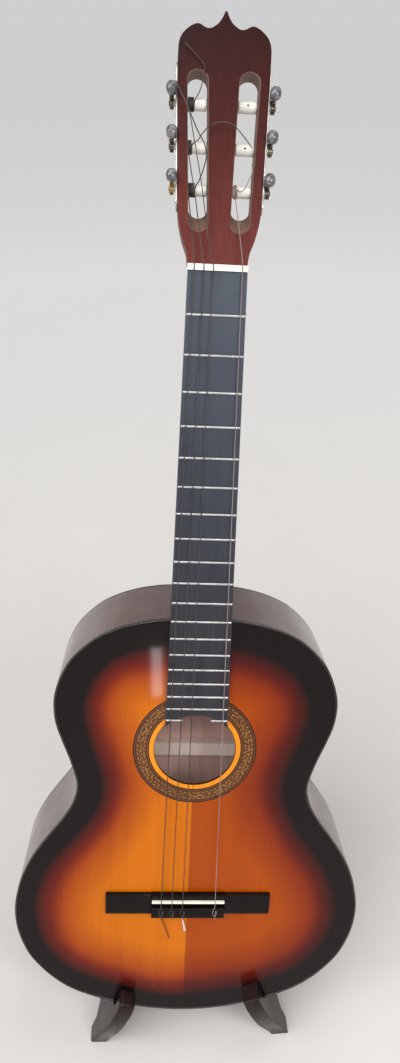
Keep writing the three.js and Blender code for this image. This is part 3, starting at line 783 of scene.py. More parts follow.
def boxSolid(low, high, rounding=0.3):
    outline = [(low[0], low[2]), (high[0], low[2]), (high[0], high[2]), (low[0], high[2])]
    return plate(outline, low[1], high[1], rounding, steps=2)


# Geometry node trees


def newGeometryTree(name, inputs):
    inputs = [("Geometry", "NodeSocketGeometry", None), *inputs]
    return newGroup(name, inputs, [("Geometry", "NodeSocketGeometry")], "GeometryNodeTree")


def endTree(grow, result, geometry, material):
    real = grow.add("GeometryNodeRealizeInstances", {"Geometry": geometry})
    dressed = grow.add("GeometryNodeSetMaterial", {"Geometry": real, "Material": material})
    grow.feed(result["Geometry"], dressed)
    return grow.tree


# A domed screw or rivet head on every given point, facing its normal
def makeRowOfHeadsTree():
    grow, given, result = newGeometryTree("rowOfHeads", [
        ("Head Radius", "NodeSocketFloat", 2.0), ("Head Height", "NodeSocketFloat", 1.0),
        ("Slot Width", "NodeSocketFloat", 0.0), ("Head Material", "NodeSocketMaterial", None),
    ])
    dome = grow.add("GeometryNodeMeshUVSphere", {"Segments": 20, "Rings": 10, "Radius": 1.0})
    radius, height = given["Head Radius"], given["Head Height"]
    dome = grow.add("GeometryNodeTransform", {"Geometry": dome.outputs["Mesh"],
                                              "Scale": grow.vector(radius, radius, height)})
    cut = grow.vector(given["Slot Width"], grow.math("MULTIPLY", radius, 2.4), height)
    slot = grow.add("GeometryNodeMeshCube", {"Size": cut}).outputs["Mesh"]
    slot = grow.add("GeometryNodeTransform", {"Geometry": slot, "Translation": grow.vector(z=height)})
    dome = grow.add("GeometryNodeSetShadeSmooth", {"Geometry": dome})
    head = grow.add("GeometryNodeMeshBoolean", {"Mesh 1": dome, "Mesh 2": slot}, operation="DIFFERENCE")
    slotted = grow.add("FunctionNodeCompare", {"A": given["Slot Width"], "B": 0.0},
                       data_type="FLOAT", operation="GREATER_THAN")
    either = grow.add("GeometryNodeSwitch", {"Switch": slotted, "False": dome,
                                             "True": head.outputs["Mesh"]}, input_type="GEOMETRY")
    facing = grow.add("GeometryNodeInputNamedAttribute", {"Name": "facing"}, data_type="FLOAT_VECTOR")
    turn = grow.add("FunctionNodeAlignRotationToVector", {"Vector": facing.outputs["Attribute"]}, axis="Z")
    placed = grow.add("GeometryNodeInstanceOnPoints", {
        "Points": given["Geometry"], "Instance": either, "Rotation": turn})
    return endTree(grow, result, placed, given["Head Material"])


# A ring of teeth round a disc, about the z axis
def makeToothedWheelTree():
    grow, given, result = newGeometryTree("toothedWheel", [
        ("Teeth", "NodeSocketInt", 14), ("Tip Radius", "NodeSocketFloat", 4.7),
        ("Tooth Depth", "NodeSocketFloat", 0.9), ("Width", "NodeSocketFloat", 3.4),
        ("Wheel Material", "NodeSocketMaterial", None),
    ])
    tip, depth = given["Tip Radius"], given["Tooth Depth"]
    width = given["Width"]
    root = grow.math("SUBTRACT", tip, depth)
    disc = grow.add("GeometryNodeMeshCylinder", {"Vertices": 42, "Radius": root, "Depth": width})
    pitch = grow.math("DIVIDE", grow.math("MULTIPLY", root, 2 * math.pi), given["Teeth"])
    size = grow.vector(grow.math("MULTIPLY", depth, 2.0), grow.math("MULTIPLY", pitch, 0.56), width)
    tooth = grow.add("GeometryNodeMeshCube", {"Size": size}).outputs["Mesh"]
    where = grow.split(grow.add("GeometryNodeInputPosition"))
    outer = grow.math("GREATER_THAN", where["X"], 0.0)
    narrow = grow.math("MULTIPLY", where["Y"], -0.45)
    tooth = grow.add("GeometryNodeSetPosition", {"Geometry": tooth, "Offset": grow.vector(
        y=grow.math("MULTIPLY", narrow, outer))})
    ring = grow.add("GeometryNodeMeshCircle", {"Vertices": given["Teeth"], "Radius": root})
    spot = grow.split(grow.add("GeometryNodeInputPosition"))
    angle = grow.add("ShaderNodeMath", {0: spot["Y"], 1: spot["X"]}, operation="ARCTAN2")
    placed = grow.add("GeometryNodeInstanceOnPoints", {
        "Points": ring, "Instance": tooth, "Rotation": grow.vector(z=angle)})
    both = grow.add("GeometryNodeJoinGeometry", {"Geometry": placed})
    grow.feed(both.inputs["Geometry"], disc)
    return endTree(grow, result, both, given["Wheel Material"])


# Small wedge blocks in a row along the given edge line, thick against the plate
def makeKerfedLiningTree():
    grow, given, result = newGeometryTree("kerfedLining", [
        ("Pitch", "NodeSocketFloat", 8.0), ("Kerf", "NodeSocketFloat", 1.4),
        ("Height", "NodeSocketFloat", 14.0), ("Thickness", "NodeSocketFloat", 5.5),
        ("Lining Material", "NodeSocketMaterial", None),
    ])
    pitch, height = given["Pitch"], given["Height"]
    path = grow.add("GeometryNodeMeshToCurve", {"Mesh": given["Geometry"]})
    points = grow.add("GeometryNodeCurveToPoints", {"Curve": path, "Length": pitch}, mode="LENGTH")
    size = grow.vector(grow.math("SUBTRACT", pitch, given["Kerf"]), height, given["Thickness"])
    block = grow.add("GeometryNodeMeshCube", {"Size": size, "Vertices Y": 4}).outputs["Mesh"]
    where = grow.split(grow.add("GeometryNodeInputPosition"))
    up = grow.math("DIVIDE", where["Y"], height)
    free = grow.math("GREATER_THAN", where["Z"], 0.0)
    lean = grow.math("MULTIPLY", grow.math("MAXIMUM", up, 0.0), given["Thickness"])
    lean = grow.math("MULTIPLY", grow.math("MULTIPLY", lean, free), -1.5)
    block = grow.add("GeometryNodeSetPosition", {"Geometry": block, "Offset": grow.vector(z=lean)})
    side = grow.add("GeometryNodeInputNamedAttribute", {"Name": "inward"}, data_type="FLOAT_VECTOR")
    turn = grow.add("FunctionNodeAlignRotationToVector", {"Vector": points.outputs["Tangent"]}, axis="X")
    turn = grow.add("FunctionNodeAlignRotationToVector", {
        "Rotation": turn, "Vector": side.outputs["Attribute"]}, axis="Z", pivot_axis="X")
    placed = grow.add("GeometryNodeInstanceOnPoints", {
        "Points": points.outputs["Points"], "Instance": block, "Rotation": turn})
    return endTree(grow, result, placed, given["Lining Material"])


# A loose bundle of thin threads along the given line, spreading towards its end
def makeFrayedEndTree():
    grow, given, result = newGeometryTree("frayedEnd", [
        ("Threads", "NodeSocketInt", 14), ("Thread Radius", "NodeSocketFloat", 0.12),
        ("Spread", "NodeSocketFloat", 0.8), ("Seed", "NodeSocketInt", 4),
        ("Thread Material", "NodeSocketMaterial", None),
    ])
    copies = grow.add("GeometryNodeDuplicateElements", {
        "Geometry": grow.add("GeometryNodeMeshToCurve", {"Mesh": given["Geometry"]}),
        "Amount": given["Threads"]}, domain="SPLINE")
    share = grow.add("GeometryNodeSplineParameter").outputs["Factor"]
    pick = copies.outputs["Duplicate Index"]
    throw = grow.add("FunctionNodeRandomValue", {"Min": (-1, -0.5, -1), "Max": (1, 0.5, 0.6),
                                                 "ID": pick, "Seed": given["Seed"]},
                     data_type="FLOAT_VECTOR")
    reach = grow.math("MULTIPLY", grow.math("ADD", share, 0.25), given["Spread"])
    offset = grow.add("ShaderNodeVectorMath", {0: throw.outputs["Value"], "Scale": reach}, operation="SCALE")
    bent = grow.add("GeometryNodeSetPosition", {"Geometry": copies.outputs["Geometry"], "Offset": offset})
    section = grow.add("GeometryNodeCurvePrimitiveCircle", {"Resolution": 5,
                                                            "Radius": given["Thread Radius"]})
    threads = grow.add("GeometryNodeCurveToMesh", {"Curve": bent, "Profile Curve": section.outputs["Curve"],
                                                   "Fill Caps": True})
    return endTree(grow, result, threads, given["Thread Material"])


# Runs a tree on a small source mesh and returns the plain mesh that it makes
def grown(name, points, edges, tree, values, vectors=None):
    source = bpy.data.meshes.new(name)
    source.from_pydata([tuple(map(float, p)) for p in points], edges, [])
    for label, rows in (vectors or {}).items():
        layer = source.attributes.new(label, "FLOAT_VECTOR", "POINT")
        layer.data.foreach_set("vector", np.asarray(rows, np.float32).ravel())
    holder = bpy.data.objects.new(name, source)
    bpy.context.scene.collection.objects.link(holder)
    modifier = holder.modifiers.new("grow", "NODES")
    modifier.node_group = tree
    for item in tree.interface.items_tree:
        if item.in_out == "INPUT" and item.name in values:
            modifier[item.identifier] = values[item.name]
    shown = holder.evaluated_get(bpy.context.evaluated_depsgraph_get())
    mesh = bpy.data.meshes.new_from_object(shown)
    holder.modifiers.remove(modifier)
    bpy.data.objects.remove(holder)
    bpy.data.meshes.remove(source)
    mesh.materials.clear()
    return mesh


rowOfHeads = makeRowOfHeadsTree()
toothedWheel = makeToothedWheelTree()
kerfedLining = makeKerfedLiningTree()
frayedEnd = makeFrayedEndTree()
print("geometry node trees made")

# Body of the guitar

body.update({
    "top": 325.0,
    "depth": 96.0,
    "topThickness": 2.8,
    "bindingWidth": 2.2,
    "ribThickness": 2.2,
    "gap": 0.3,
    "holeRadius": 42.2,
    "rosette": (47.5, 64.0),
    "outlinePoints": 150,
})

halfBody = [
    (0, 325), (20, 325.1), (42, 326.4), (69, 332), (89, 339.5), (104, 348), (125, 368),
    (135, 384), (143, 407), (144.6, 420), (143, 441), (136.7, 462), (128.5, 485),
    (122.2, 508), (121.3, 518), (126, 536.5), (137.5, 557), (152.5, 578), (167, 600),
    (179, 625), (186.2, 651), (188.9, 673), (186.5, 700), (176, 731), (165, 748),
    (148, 767), (127, 783), (97, 796.5), (60, 807.5), (28, 812.8), (0, 814),
]


def bodyOutline():
    right = [(u, -v) for u, v in halfBody]
    left = [(-u, z) for u, z in right[1:-1]][::-1]
    return counterClockwise(smoothPath(right + left, body["outlinePoints"] * 2, closed=True))


def distanceToOutline(points, outline):
    a = outline[None]
    b = np.roll(outline, -1, axis=0)[None]
    p = points[:, None]
    along = ((p - a) * (b - a)).sum(2) / (((b - a) ** 2).sum(2) + 1e-12)
    nearest = a + np.clip(along, 0, 1)[..., None] * (b - a)
    return np.linalg.norm(p - nearest, axis=2).min(1)


outline = bodyOutline()


# Distance to the edge, eased so the colour runs round the waist as one sweep
def softRim(points):
    straight = distanceToOutline(points, outline)
    waist = np.exp(-((points[:, 1] + 500.0) / 60.0) ** 2)
    shoulders = np.exp(-((points[:, 1] + 380.0) / 55.0) ** 2)
    return straight - 4.0 * waist - 8.0 * shoulders


def makeTop():
    edge = inset(outline, body["bindingWidth"] + body["gap"])
    hole = circle(body["holeRadius"], 128, 0, -body["holeCentre"])
    step = 5.0
    xs = np.arange(-190, 191, step)
    zs = np.arange(-812, -324, step)
    grid = np.array([(x + (step / 2 if j % 2 else 0), z) for j, z in enumerate(zs) for x in xs])
    far = distanceToOutline(grid, edge) > 3.0
    fromHole = np.abs(np.hypot(grid[:, 0], grid[:, 1] + body["holeCentre"]) - body["holeRadius"]) > 3.0
    grid = grid[insideMany(grid, edge) & far & fromHole & ~insideMany(grid, hole)]
    bm = plate(edge, 0.0, body["topThickness"], 0.3, [hole], steps=2, inner=1, grid=grid)
    mesh = finishMesh(bm, "soundboard", 40)
    flat = np.array([(v.co.x, v.co.z) for v in mesh.vertices])
    rim = mesh.attributes.new("rim", "FLOAT", "POINT")
    rim.data.foreach_set("value", (softRim(flat) * mm).astype(np.float32))
    addPiece("sunburst_top", mesh, "guitar", ["sunburst", "innerWoodAndPaintedLight"], ["soundboard"])


def makeRosette():
    low, high = body["rosette"]
    centre = (0, -body["holeCentre"])
    bm = plate(circle(high, 160, *centre), -0.12, 0.6, 0.1, [circle(low, 160, *centre)], steps=1)
    mesh = finishMesh(bm, "rosette", 30)
    ring = mesh.attributes.new("ring", "FLOAT_VECTOR", "CORNER")
    values = []
    for polygon in mesh.polygons:
        corners = []
        for index in polygon.vertices:
            x, _, z = mesh.vertices[index].co
            z += body["holeCentre"]
            corners.append([math.hypot(x, z) * mm, math.atan2(z, x) / (2 * math.pi) + 0.5, 0])
        if max(c[1] for c in corners) - min(c[1] for c in corners) > 0.5:
            for corner in corners:
                corner[1] += 1 if corner[1] < 0.5 else 0
        values += [v for corner in corners for v in corner]
    ring.data.foreach_set("vector", values)
    addPiece("mosaic_rosette", mesh, "guitar", ["mosaic"], ["rosette"])


def makeShell():
    deep = body["depth"]
    thick = body["topThickness"]
    edge = inset(outline, body["bindingWidth"] + body["gap"])
    bm = plate(edge, deep - thick, deep, 0.3, steps=2)
    for face in bm.faces:
        if max(v.co.y for v in face.verts) < deep - thick + 0.05:
            face.material_index = 1
    addPiece("body_back", finishMesh(bm, "back", 40), "guitar", ["mahogany", "innerBackAndPaintedLight"],
             ["back_plate"])
    rimHole = inset(outline, body["bindingWidth"])
    for name, front in (("binding_top", -0.15), ("binding_back", deep - thick)):
        bm = plate(outline, front, front + thick + 0.15, 0.5, [rimHole], steps=3)
        addPiece(f"{name}_strip", finishMesh(bm, name, 40), "guitar", ["binding"], [name])
    makeRibs()


def makeRibs():
    front = body["topThickness"] + body["gap"]
    back = body["depth"] - front
    inside = inset(outline, body["ribThickness"])
    for side in (-1, 1):
        keep = np.where(outline[:, 0] * side > 0.25)[0]
        keep = keep[np.argsort(-outline[keep, 1])]
        outer = outline[keep]
        inner = inside[keep]
        start = 10.3 * side
        outer = np.vstack([[(start, -325.0)], outer[np.abs(outer[:, 0]) > 10.6]])
        inner = inner[np.abs(outline[keep, 0]) > 10.6]
        inner = np.vstack([[(start, -325.0 - body["ribThickness"])], inner])
        tail = 0.25 * side
        outer = np.vstack([outer, [(tail, -814.0)]])
        inner = np.vstack([inner, [(tail, -814.0 + body["ribThickness"])]])
        ring = np.vstack([outer, inner[::-1]])
        bm = plate(ring, front, back, 0.05, steps=1)
        for face in bm.faces:
            middle = face.calc_center_median()
            flat = np.array([[middle.x, middle.z]])
            if distanceToOutline(flat, outline)[0] > body["ribThickness"] * 0.6:
                face.material_index = 1
        word = "right" if side > 0 else "left"
        addPiece(f"side_{word}", finishMesh(bm, f"rib_{word}", 40), "guitar",
                 ["mahogany", "innerBackAndPaintedLight"], [f"rib_{word}"])


def makeBraces():
    front = body["topThickness"] + body["gap"]
    back = body["depth"] - front
    braces = [
        ("back_brace_upper", 400, 132, 3.5, "back"),
        ("back_brace_lower", 521, 112, 8, "back"),
        ("top_brace_upper", 418, 134, 3.5, "front"),
        ("top_brace_lower", 524, 112, 3.5, "front"),
    ]
    for name, v, reach, half, side in braces:
        tall = 13 if side == "back" else 11
        low = back - tall if side == "back" else front
        if side == "back":
            profile = [(-reach, low + tall), (-reach, low + tall - 4), (-reach + 30, low),
                       (reach - 30, low), (reach, low + tall - 4), (reach, low + tall)]
        else:
            profile = [(-reach, low), (reach, low), (reach, low + 4), (reach - 30, low + tall),
                       (-reach + 30, low + tall), (-reach, low + 4)]
        bm = plate(profile, -v - half, -v + half, 0.8, turned=upWise, steps=2)
        addPiece(f"{name}_bar", finishMesh(bm, name, 40), "guitar", ["innerWoodAndPaintedLight"], [name])
    bm = boxSolid((-30, front, -808), (30, back, -793), 0.8)
    addPiece("tail_block", finishMesh(bm, "end_block", 40), "guitar", ["innerWoodAndPaintedLight"], ["end_block"])


lining = {"pitch": 8.0, "kerf": 1.4, "height": 13.0, "thickness": 5.2, "endGap": 36.0}


def makeLinings():
    thick = body["topThickness"] + body["gap"] + 0.1
    line = inset(outline, body["ribThickness"] + lining["thickness"] / 2 + 0.1)
    inward = line - inset(outline, body["ribThickness"])
    inward /= np.linalg.norm(inward, axis=1)[:, None]
    for side in (-1, 1):
        keep = np.where(line[:, 0] * side > lining["endGap"])[0]
        keep = keep[np.argsort(-line[keep, 1])]
        word = "right" if side > 0 else "left"
        for plateName, depth in (("top", thick + lining["height"] / 2),
                                 ("back", body["depth"] - thick - lining["height"] / 2)):
            flip = 1 if plateName == "top" else -1
            points = [(line[k][0], depth, line[k][1]) for k in keep]
            facing = [(inward[k][0], 0, inward[k][1]) for k in keep]
            edges = [(i, i + 1) for i in range(len(points) - 1)]
            if side * flip > 0:
                points = points[::-1]
                facing = facing[::-1]
            mesh = grown("lining", points, edges, kerfedLining, {
                "Pitch": lining["pitch"], "Kerf": lining["kerf"], "Height": lining["height"],
                "Thickness": lining["thickness"], "Lining Material": finish["innerWoodAndPaintedLight"],
            }, {"inward": facing})
            addPiece(f"kerfed_lining_{plateName}_{word}", mesh, "guitar", ["innerWoodAndPaintedLight"], ())


makeTop()
makeRosette()
makeShell()
makeBraces()
makeLinings()
print("body made")

# Neck and headstock

neck = {
    "nutHalf": 25.75,
    "twelfthHalf": 30.1,
    "headThickness": 19.0,
    "sideSlope": 0.0272,
    "rollerStations": (63.0, 98.0, 133.0),
    "rollerDepth": 10.0,
}

halfHead = [
    (26, 0), (27.4, 10), (31, 19.5), (33.2, 28), (34.9, 36), (35.9, 46),
    (39.22, 168), (39.1, 176), (38.2, 181), (36, 185.5), (31.8, 189.8),
    (28.2, 192.4), (24, 194), (21.4, 193.7), (18.4, 192), (15.3, 190.8), (12.1, 191),
    (9, 192.8), (6, 195.2), (4, 198), (2.2, 201.2), (0, 205.5),
]


def boardHalfWidth(v):
    return neck["nutHalf"] + (neck["twelfthHalf"] - neck["nutHalf"]) * v / body["top"]


def loft(rings):
    bm = bmesh.new()
    loops = [[bm.verts.new(p) for p in ring] for ring in rings]
    count = len(loops[0])
    for a, b in zip(loops, loops[1:]):
        for k in range(count):
            j = (k + 1) % count
            bm.faces.new((a[k], a[j], b[j], b[k]))
    bm.faces.new(loops[0][::-1])
    bm.faces.new(loops[-1])
    return bm


def makeShaft():
    rings = []
    for v in np.linspace(-neck["rollerDepth"] * 0.7, body["top"] - 0.3, 40):
        half = boardHalfWidth(v) - 0.1
        deep = 20.5 + 2.5 * max(v, 0) / body["top"]
        ring = []
        for i in range(33):
            angle = i / 32 * math.pi
            across = math.copysign(abs(math.cos(angle)) ** 0.8, math.cos(angle)) * half
            ring.append((across, math.sin(angle) ** 0.8 * deep if 0 < i < 32 else 0.0, -v))
        rings.append(ring)
    return loft(rings)


def makeHeel():
    tips = smoothPath([(0.5, -250), (12, -257), (19, -264), (23, -280), (29, -292), (40, -301.5),
                       (60, -307.5), (84, -311), (89, -312.5), (90, -314.5)], 40)
    rings = []
    for deep, tip in tips:
        share = min(1, max(0, (deep - 8) / 80))
        half = (boardHalfWidth(-tip) - 0.8) * (1 - 0.62 * share ** 0.7)
        ring = []
        for i in range(25):
            angle = i / 24 * math.pi
            across = math.cos(angle)
            out = math.sin(angle) ** 0.75 if 0 < i < 24 else 0.0
            ring.append((across * half, deep, -324.7 + out * (tip + 324.7)))
        rings.append(ring)
    return loft(rings)


# Rings down a slot; its lower end runs out in a slope at the face
def slotRings(side):
    rings = []
    for depth, ramp in ((0.0, 14.0), (0.6, 13.0), (3.0, 10.4), (7.0, 5.6), (10.0, 1.8),
                        (12.0, 0.0), (19.0, 0.0)):
        flare = 0.6 if depth == 0 else 0.0
        ring = []
        for part in range(2):
            for i in range(17):
                angle = part * math.pi + i / 16 * math.pi
                up = math.sin(angle)
                rounding = 8.5 * abs(up)
                s = 148.8 + rounding + flare if part == 0 else 48.6 - rounding - ramp
                centre = 18 + (s - 34) * 0.0345
                u = side * (centre + math.cos(angle) * (8.35 + flare + (s - 34) * 0.003))
                ring.append((u, s))
        ring = counterClockwise(ring)
        rings.append((ring, depth))
    return rings


def headOutline():
    corners = halfHead[:7]
    crown = [tuple(p) for p in smoothPath([*halfHead[6:-1], (1.1, 204.2)], 44)][1:]
    crown.append((0, 204.9))
    right = [tuple(p) for p in smoothPath(corners[:6], 14)] + [corners[6]] + crown
    left = [(-u, s) for u, s in right[:-1]][::-1]
    return counterClockwise(right + left)


def makeNeck():
    shape = headOutline()
    depths = roundedDepths(0, neck["headThickness"], 0.9, 3)
    boundaries = [[(inset(shape, a), d) for a, d in depths]]
    boundaries += [slotRings(1), slotRings(-1)]
    head = stackSolid(boundaries, flatWise)
    for face in head.faces:
        middle = face.calc_center_median()
        if 0.3 < middle.y < 18.7 and abs(face.normal.y) < 0.99 and abs(middle.x) < 31 and 25 < middle.z < 162:
            face.material_index = 1
    bm = bmesh.new()
    merge(bm, head, headPlace)
    wedge = boxSolid((-21, 5, -18), (21, 17, 3), 3.0)
    merge(bm, wedge, headPlace)
    merge(bm, makeShaft())
    merge(bm, makeHeel())
    front = body["topThickness"] + 0.6
    back = body["depth"] - front
    merge(bm, boxSolid((-9.8, front, -345), (9.8, back, -322)))
    merge(bm, boxSolid((-28, front, -352), (28, back, -327.8)))
    addPiece("neck_and_head", finishMesh(bm, "neck", 38), "guitar", ["neck", "slotWood"], ["neck"])


def makeFretboard():
    reach = body["holeRadius"] + 0.8
    end = []
    for i in range(25):
        angle = math.radians(-47.3 + 94.6 * i / 24)
        end.append((reach * math.sin(angle), -body["holeCentre"] + reach * math.cos(angle)))
    shape = [(-boardHalfWidth(0), 0), *end, (boardHalfWidth(0), 0)]
    bm = plate(shape, -6.6, -0.4, 0.5, steps=3)
    addPiece("fingerboard", finishMesh(bm, "fretboard", 40), "guitar", ["fretboard"], ["fretboard"])


def makeFrets():
    spans = []
    for n in range(1, 20):
        v = 650 * (1 - 2 ** (-n / 12))
        half = boardHalfWidth(v) - 0.6
        if n < 19:
            spans.append((f"fret_{n:02d}", v, -half, half))
        else:
            spans.append(("fret_19_left", v, -half, -14.5))
            spans.append(("fret_19_right", v, 14.5, half))
    for name, v, left, right in spans:
        crown = [(-6.9 - math.sin(i / 8 * math.pi), -v + 1.1 * math.cos(i / 8 * math.pi))
                 for i in range(9)]
        bm = bar(crown, left, right, 0.15, 1)
        addPiece(f"{name}_wire", finishMesh(bm, name, 50), "guitar", ["fretWire"], [name])


def makeNut():
    profile = [(-0.4, 0.3), (-0.4, 5.6), (-7.4, 5.6), (-8.3, 5.1), (-8.8, 4.2), (-8.6, 0.3)]
    addPiece("ivory_nut", finishMesh(bar(profile, -26, 26, 0.4, 3), "nut", 40), "guitar", ["ivory"],
             ["nut"])


def makeBridge():
    wing = [(-0.3, -649), (-3.2, -649), (-4.1, -649.6), (-4.6, -651.5), (-4.6, -672), (-4.2, -674.4),
            (-3.4, -675.5), (-0.3, -675.5)]
    bm = bmesh.new()
    merge(bm, bar(wing, -90, -39.9, 0.8, 3))
    merge(bm, bar(wing, 39.9, 90, 0.8, 3))
    middle = [(-0.3, -648.5), (-3.4, -648.5), (-7.2, -649.9), (-9, -651.2),
              (-9, -652.5), (-5, -652.5), (-5, -655.7), (-9, -655.7), (-9, -657), (-4.6, -659),
              (-4.6, -664.5), (-7.6, -664.5), (-8.2, -665.1), (-8.2, -676.8), (-7.5, -677.5), (-0.3, -677.5)]
    merge(bm, bar(middle, -40, 40, 0.25, 2))
    addPiece("tie_bridge", finishMesh(bm, "bridge", 38), "guitar", ["bridge"], ["bridge"])
    bone = [(-5.3, -652.8), (-11.2, -652.8), (-11.7, -653.4), (-11.8, -654.1), (-11.7, -654.8),
            (-11.2, -655.4), (-5.3, -655.4)]
    addPiece("ivory_saddle", finishMesh(bar(bone, -39.5, 39.5, 0.4, 3), "saddle", 40), "guitar",
             ["ivory"], ["saddle"])


makeNeck()
makeFretboard()
makeFrets()
makeNut()
makeBridge()
print("neck and bridge made")

# Machine heads

tuner = {
    "rollerRadius": 5.0,
    "gearRadius": 4.7,
    "gearTeeth": 14,
    "wormOffset": 7.4,
    "wormSide": 5.4,
    "plateThickness": 1.2,
}


def headHalfWidth(s):
    return 35.9 + neck["sideSlope"] * (s - 46)


def makeTunerPlate(side):
    shape = [(9, 44), (4, 46), (2, 52), (3.4, 60), (2, 80), (3.4, 98), (2, 116), (3.4, 136),
             (2, 156), (4, 163), (9.5, 166), (15, 163), (17, 156), (15.6, 136), (17, 116),
             (15.6, 98), (17, 80), (15.6, 60), (17, 52), (15, 46)]
    shape = smoothPath(shape, 120, closed=True)
    left = 0.3 if side > 0 else -1.5
    bm = plate(shape, left, left + tuner["plateThickness"], 0.25, turned=acrossWise, steps=2)
    for s in neck["rollerStations"]:
        worm = s + tuner["wormOffset"]
        for y in (2.4, 15.0):
            merge(bm, lugSolid(side, left, y, worm))
    turn = Matrix.Rotation(side * math.atan(neck["sideSlope"]), 4, "Y")
    move = Matrix.Translation((side * 35.9, 0, 46)) @ turn @ Matrix.Translation((0, 0, -46))
    word = "right" if side > 0 else "left"
    addPiece(f"side_plate_{word}", finishMesh(bm, "tunerPlate", 40), "guitar", ["nickel"],
             [f"tuner_plate_{word}"], guitarPlace, headPlace @ move)
    face = left + tuner["plateThickness"] if side > 0 else left
    spots = [(face, 9.5, s - 9.5) for s in neck["rollerStations"]] + [(face, 9.5, 157)]
    rivets = grown("rivets", spots, [], rowOfHeads, {
        "Head Radius": 1.9, "Head Height": 1.05, "Slot Width": 0.0, "Head Material": finish["nickel"],
    }, {"facing": [(side, 0, 0)] * len(spots)})
    addPiece(f"plate_rivets_{word}", rivets, "guitar", ["nickel"], (), guitarPlace,
             headPlace @ move)


# A lug with its eye round the worm's shaft
def lugSolid(side, left, y, worm):
    inner = left + tuner["plateThickness"] if side > 0 else left
    reach = tuner["wormSide"] * side
    tip = [(reach + side * 3.0 * math.cos(a), worm + 3.0 * math.sin(a))
           for a in np.linspace(-math.pi / 2, math.pi / 2, 13)]
    shape = [(inner, worm - 3), *tip, (inner, worm + 3)]
    eye = circle(2.0, 16, reach, worm)
    return plate(shape, y, y + 1.8, 0.25, [eye], steps=1)


def gearSolid(side, x0, x1):
    mesh = grown("gear", [(0, 0, 0)], [], toothedWheel, {
        "Teeth": tuner["gearTeeth"], "Tip Radius": tuner["gearRadius"], "Tooth Depth": 1.0,
        "Width": x1 - x0, "Wheel Material": finish["gear"],
    })
    bm = bmesh.new()
    bm.from_mesh(mesh)
    bpy.data.meshes.remove(mesh)
    bm.transform(Matrix.Translation((side * (x0 + x1) / 2, 0, 0)) @ Matrix.Rotation(math.pi / 2, 4, "Y"))
    return bm


def makeRoller(side, number, s):
    edge = headHalfWidth(s)
    inner = 18 + (s - 34) * 0.0345 - 7.7
    profile = [(0, inner - 2.6), (2.5, inner - 2.6), (2.5, inner), (4.6, inner), (5.0, inner + 0.4),
               (5.0, inner + 15.2), (4.6, inner + 15.6), (2.6, inner + 15.6), (2.6, edge + 3.0),
               (0, edge + 3.0)]
    bm = lathe([(r, side * x) for r, x in profile], 40)
    if side > 0 and number > 1:
        bm = drilled(bm, side * (inner + 7.8))
    first = len(bm.faces)
    merge(bm, gearSolid(side, edge + 3.2, edge + 6.6))
    hub = [(0, edge + 6.6), (2.2, edge + 6.6), (2.2, edge + 7.3), (1.7, edge + 7.6), (0, edge + 7.6)]
    merge(bm, lathe([(r, side * x) for r, x in hub], 20))
    bm.faces.ensure_lookup_table()
    for face in bm.faces[first:]:
        face.material_index = 1
    word = "right" if side > 0 else "left"
    metal = "brass" if side < 0 and number == 1 else "gear"
    move = Matrix.Translation((0, neck["rollerDepth"], s))
    addPiece(f"string_roller_{word}_{number}", finishMesh(bm, "roller", 40), f"roller_{word}_{number}",
             ["roller", metal], [f"roller_{word}_{number}"], guitarPlace, headPlace @ move)


# The same roller with a small string hole through it
def drilled(bm, x):
    blankMesh = bpy.data.meshes.new("drillBlank")
    bmesh.ops.recalc_face_normals(bm, faces=bm.faces)
    bm.to_mesh(blankMesh)
    bm.free()
    drill = lathe([(0, -9), (1.0, -9), (1.0, 9), (0, 9)], 20)
    drill.transform(Matrix.Translation((x, 0, 0)) @ Matrix.Rotation(math.pi / 2, 4, "Z"))
    bmesh.ops.recalc_face_normals(drill, faces=drill.faces)
    tool = bpy.data.meshes.new("drill")
    drill.to_mesh(tool)
    drill.free()
    blank = bpy.data.objects.new("drillBlank", blankMesh)
    cutter = bpy.data.objects.new("drill", tool)
    for item in (blank, cutter):
        bpy.context.scene.collection.objects.link(item)
    cut = blank.modifiers.new("hole", "BOOLEAN")
    cut.operation = "DIFFERENCE"
    cut.solver = "EXACT"
    cut.object = cutter
    shown = bpy.context.evaluated_depsgraph_get()
    result = bmesh.new()
    result.from_mesh(bpy.data.meshes.new_from_object(blank.evaluated_get(shown)))
    bpy.data.objects.remove(blank)
    bpy.data.objects.remove(cutter)
    return result


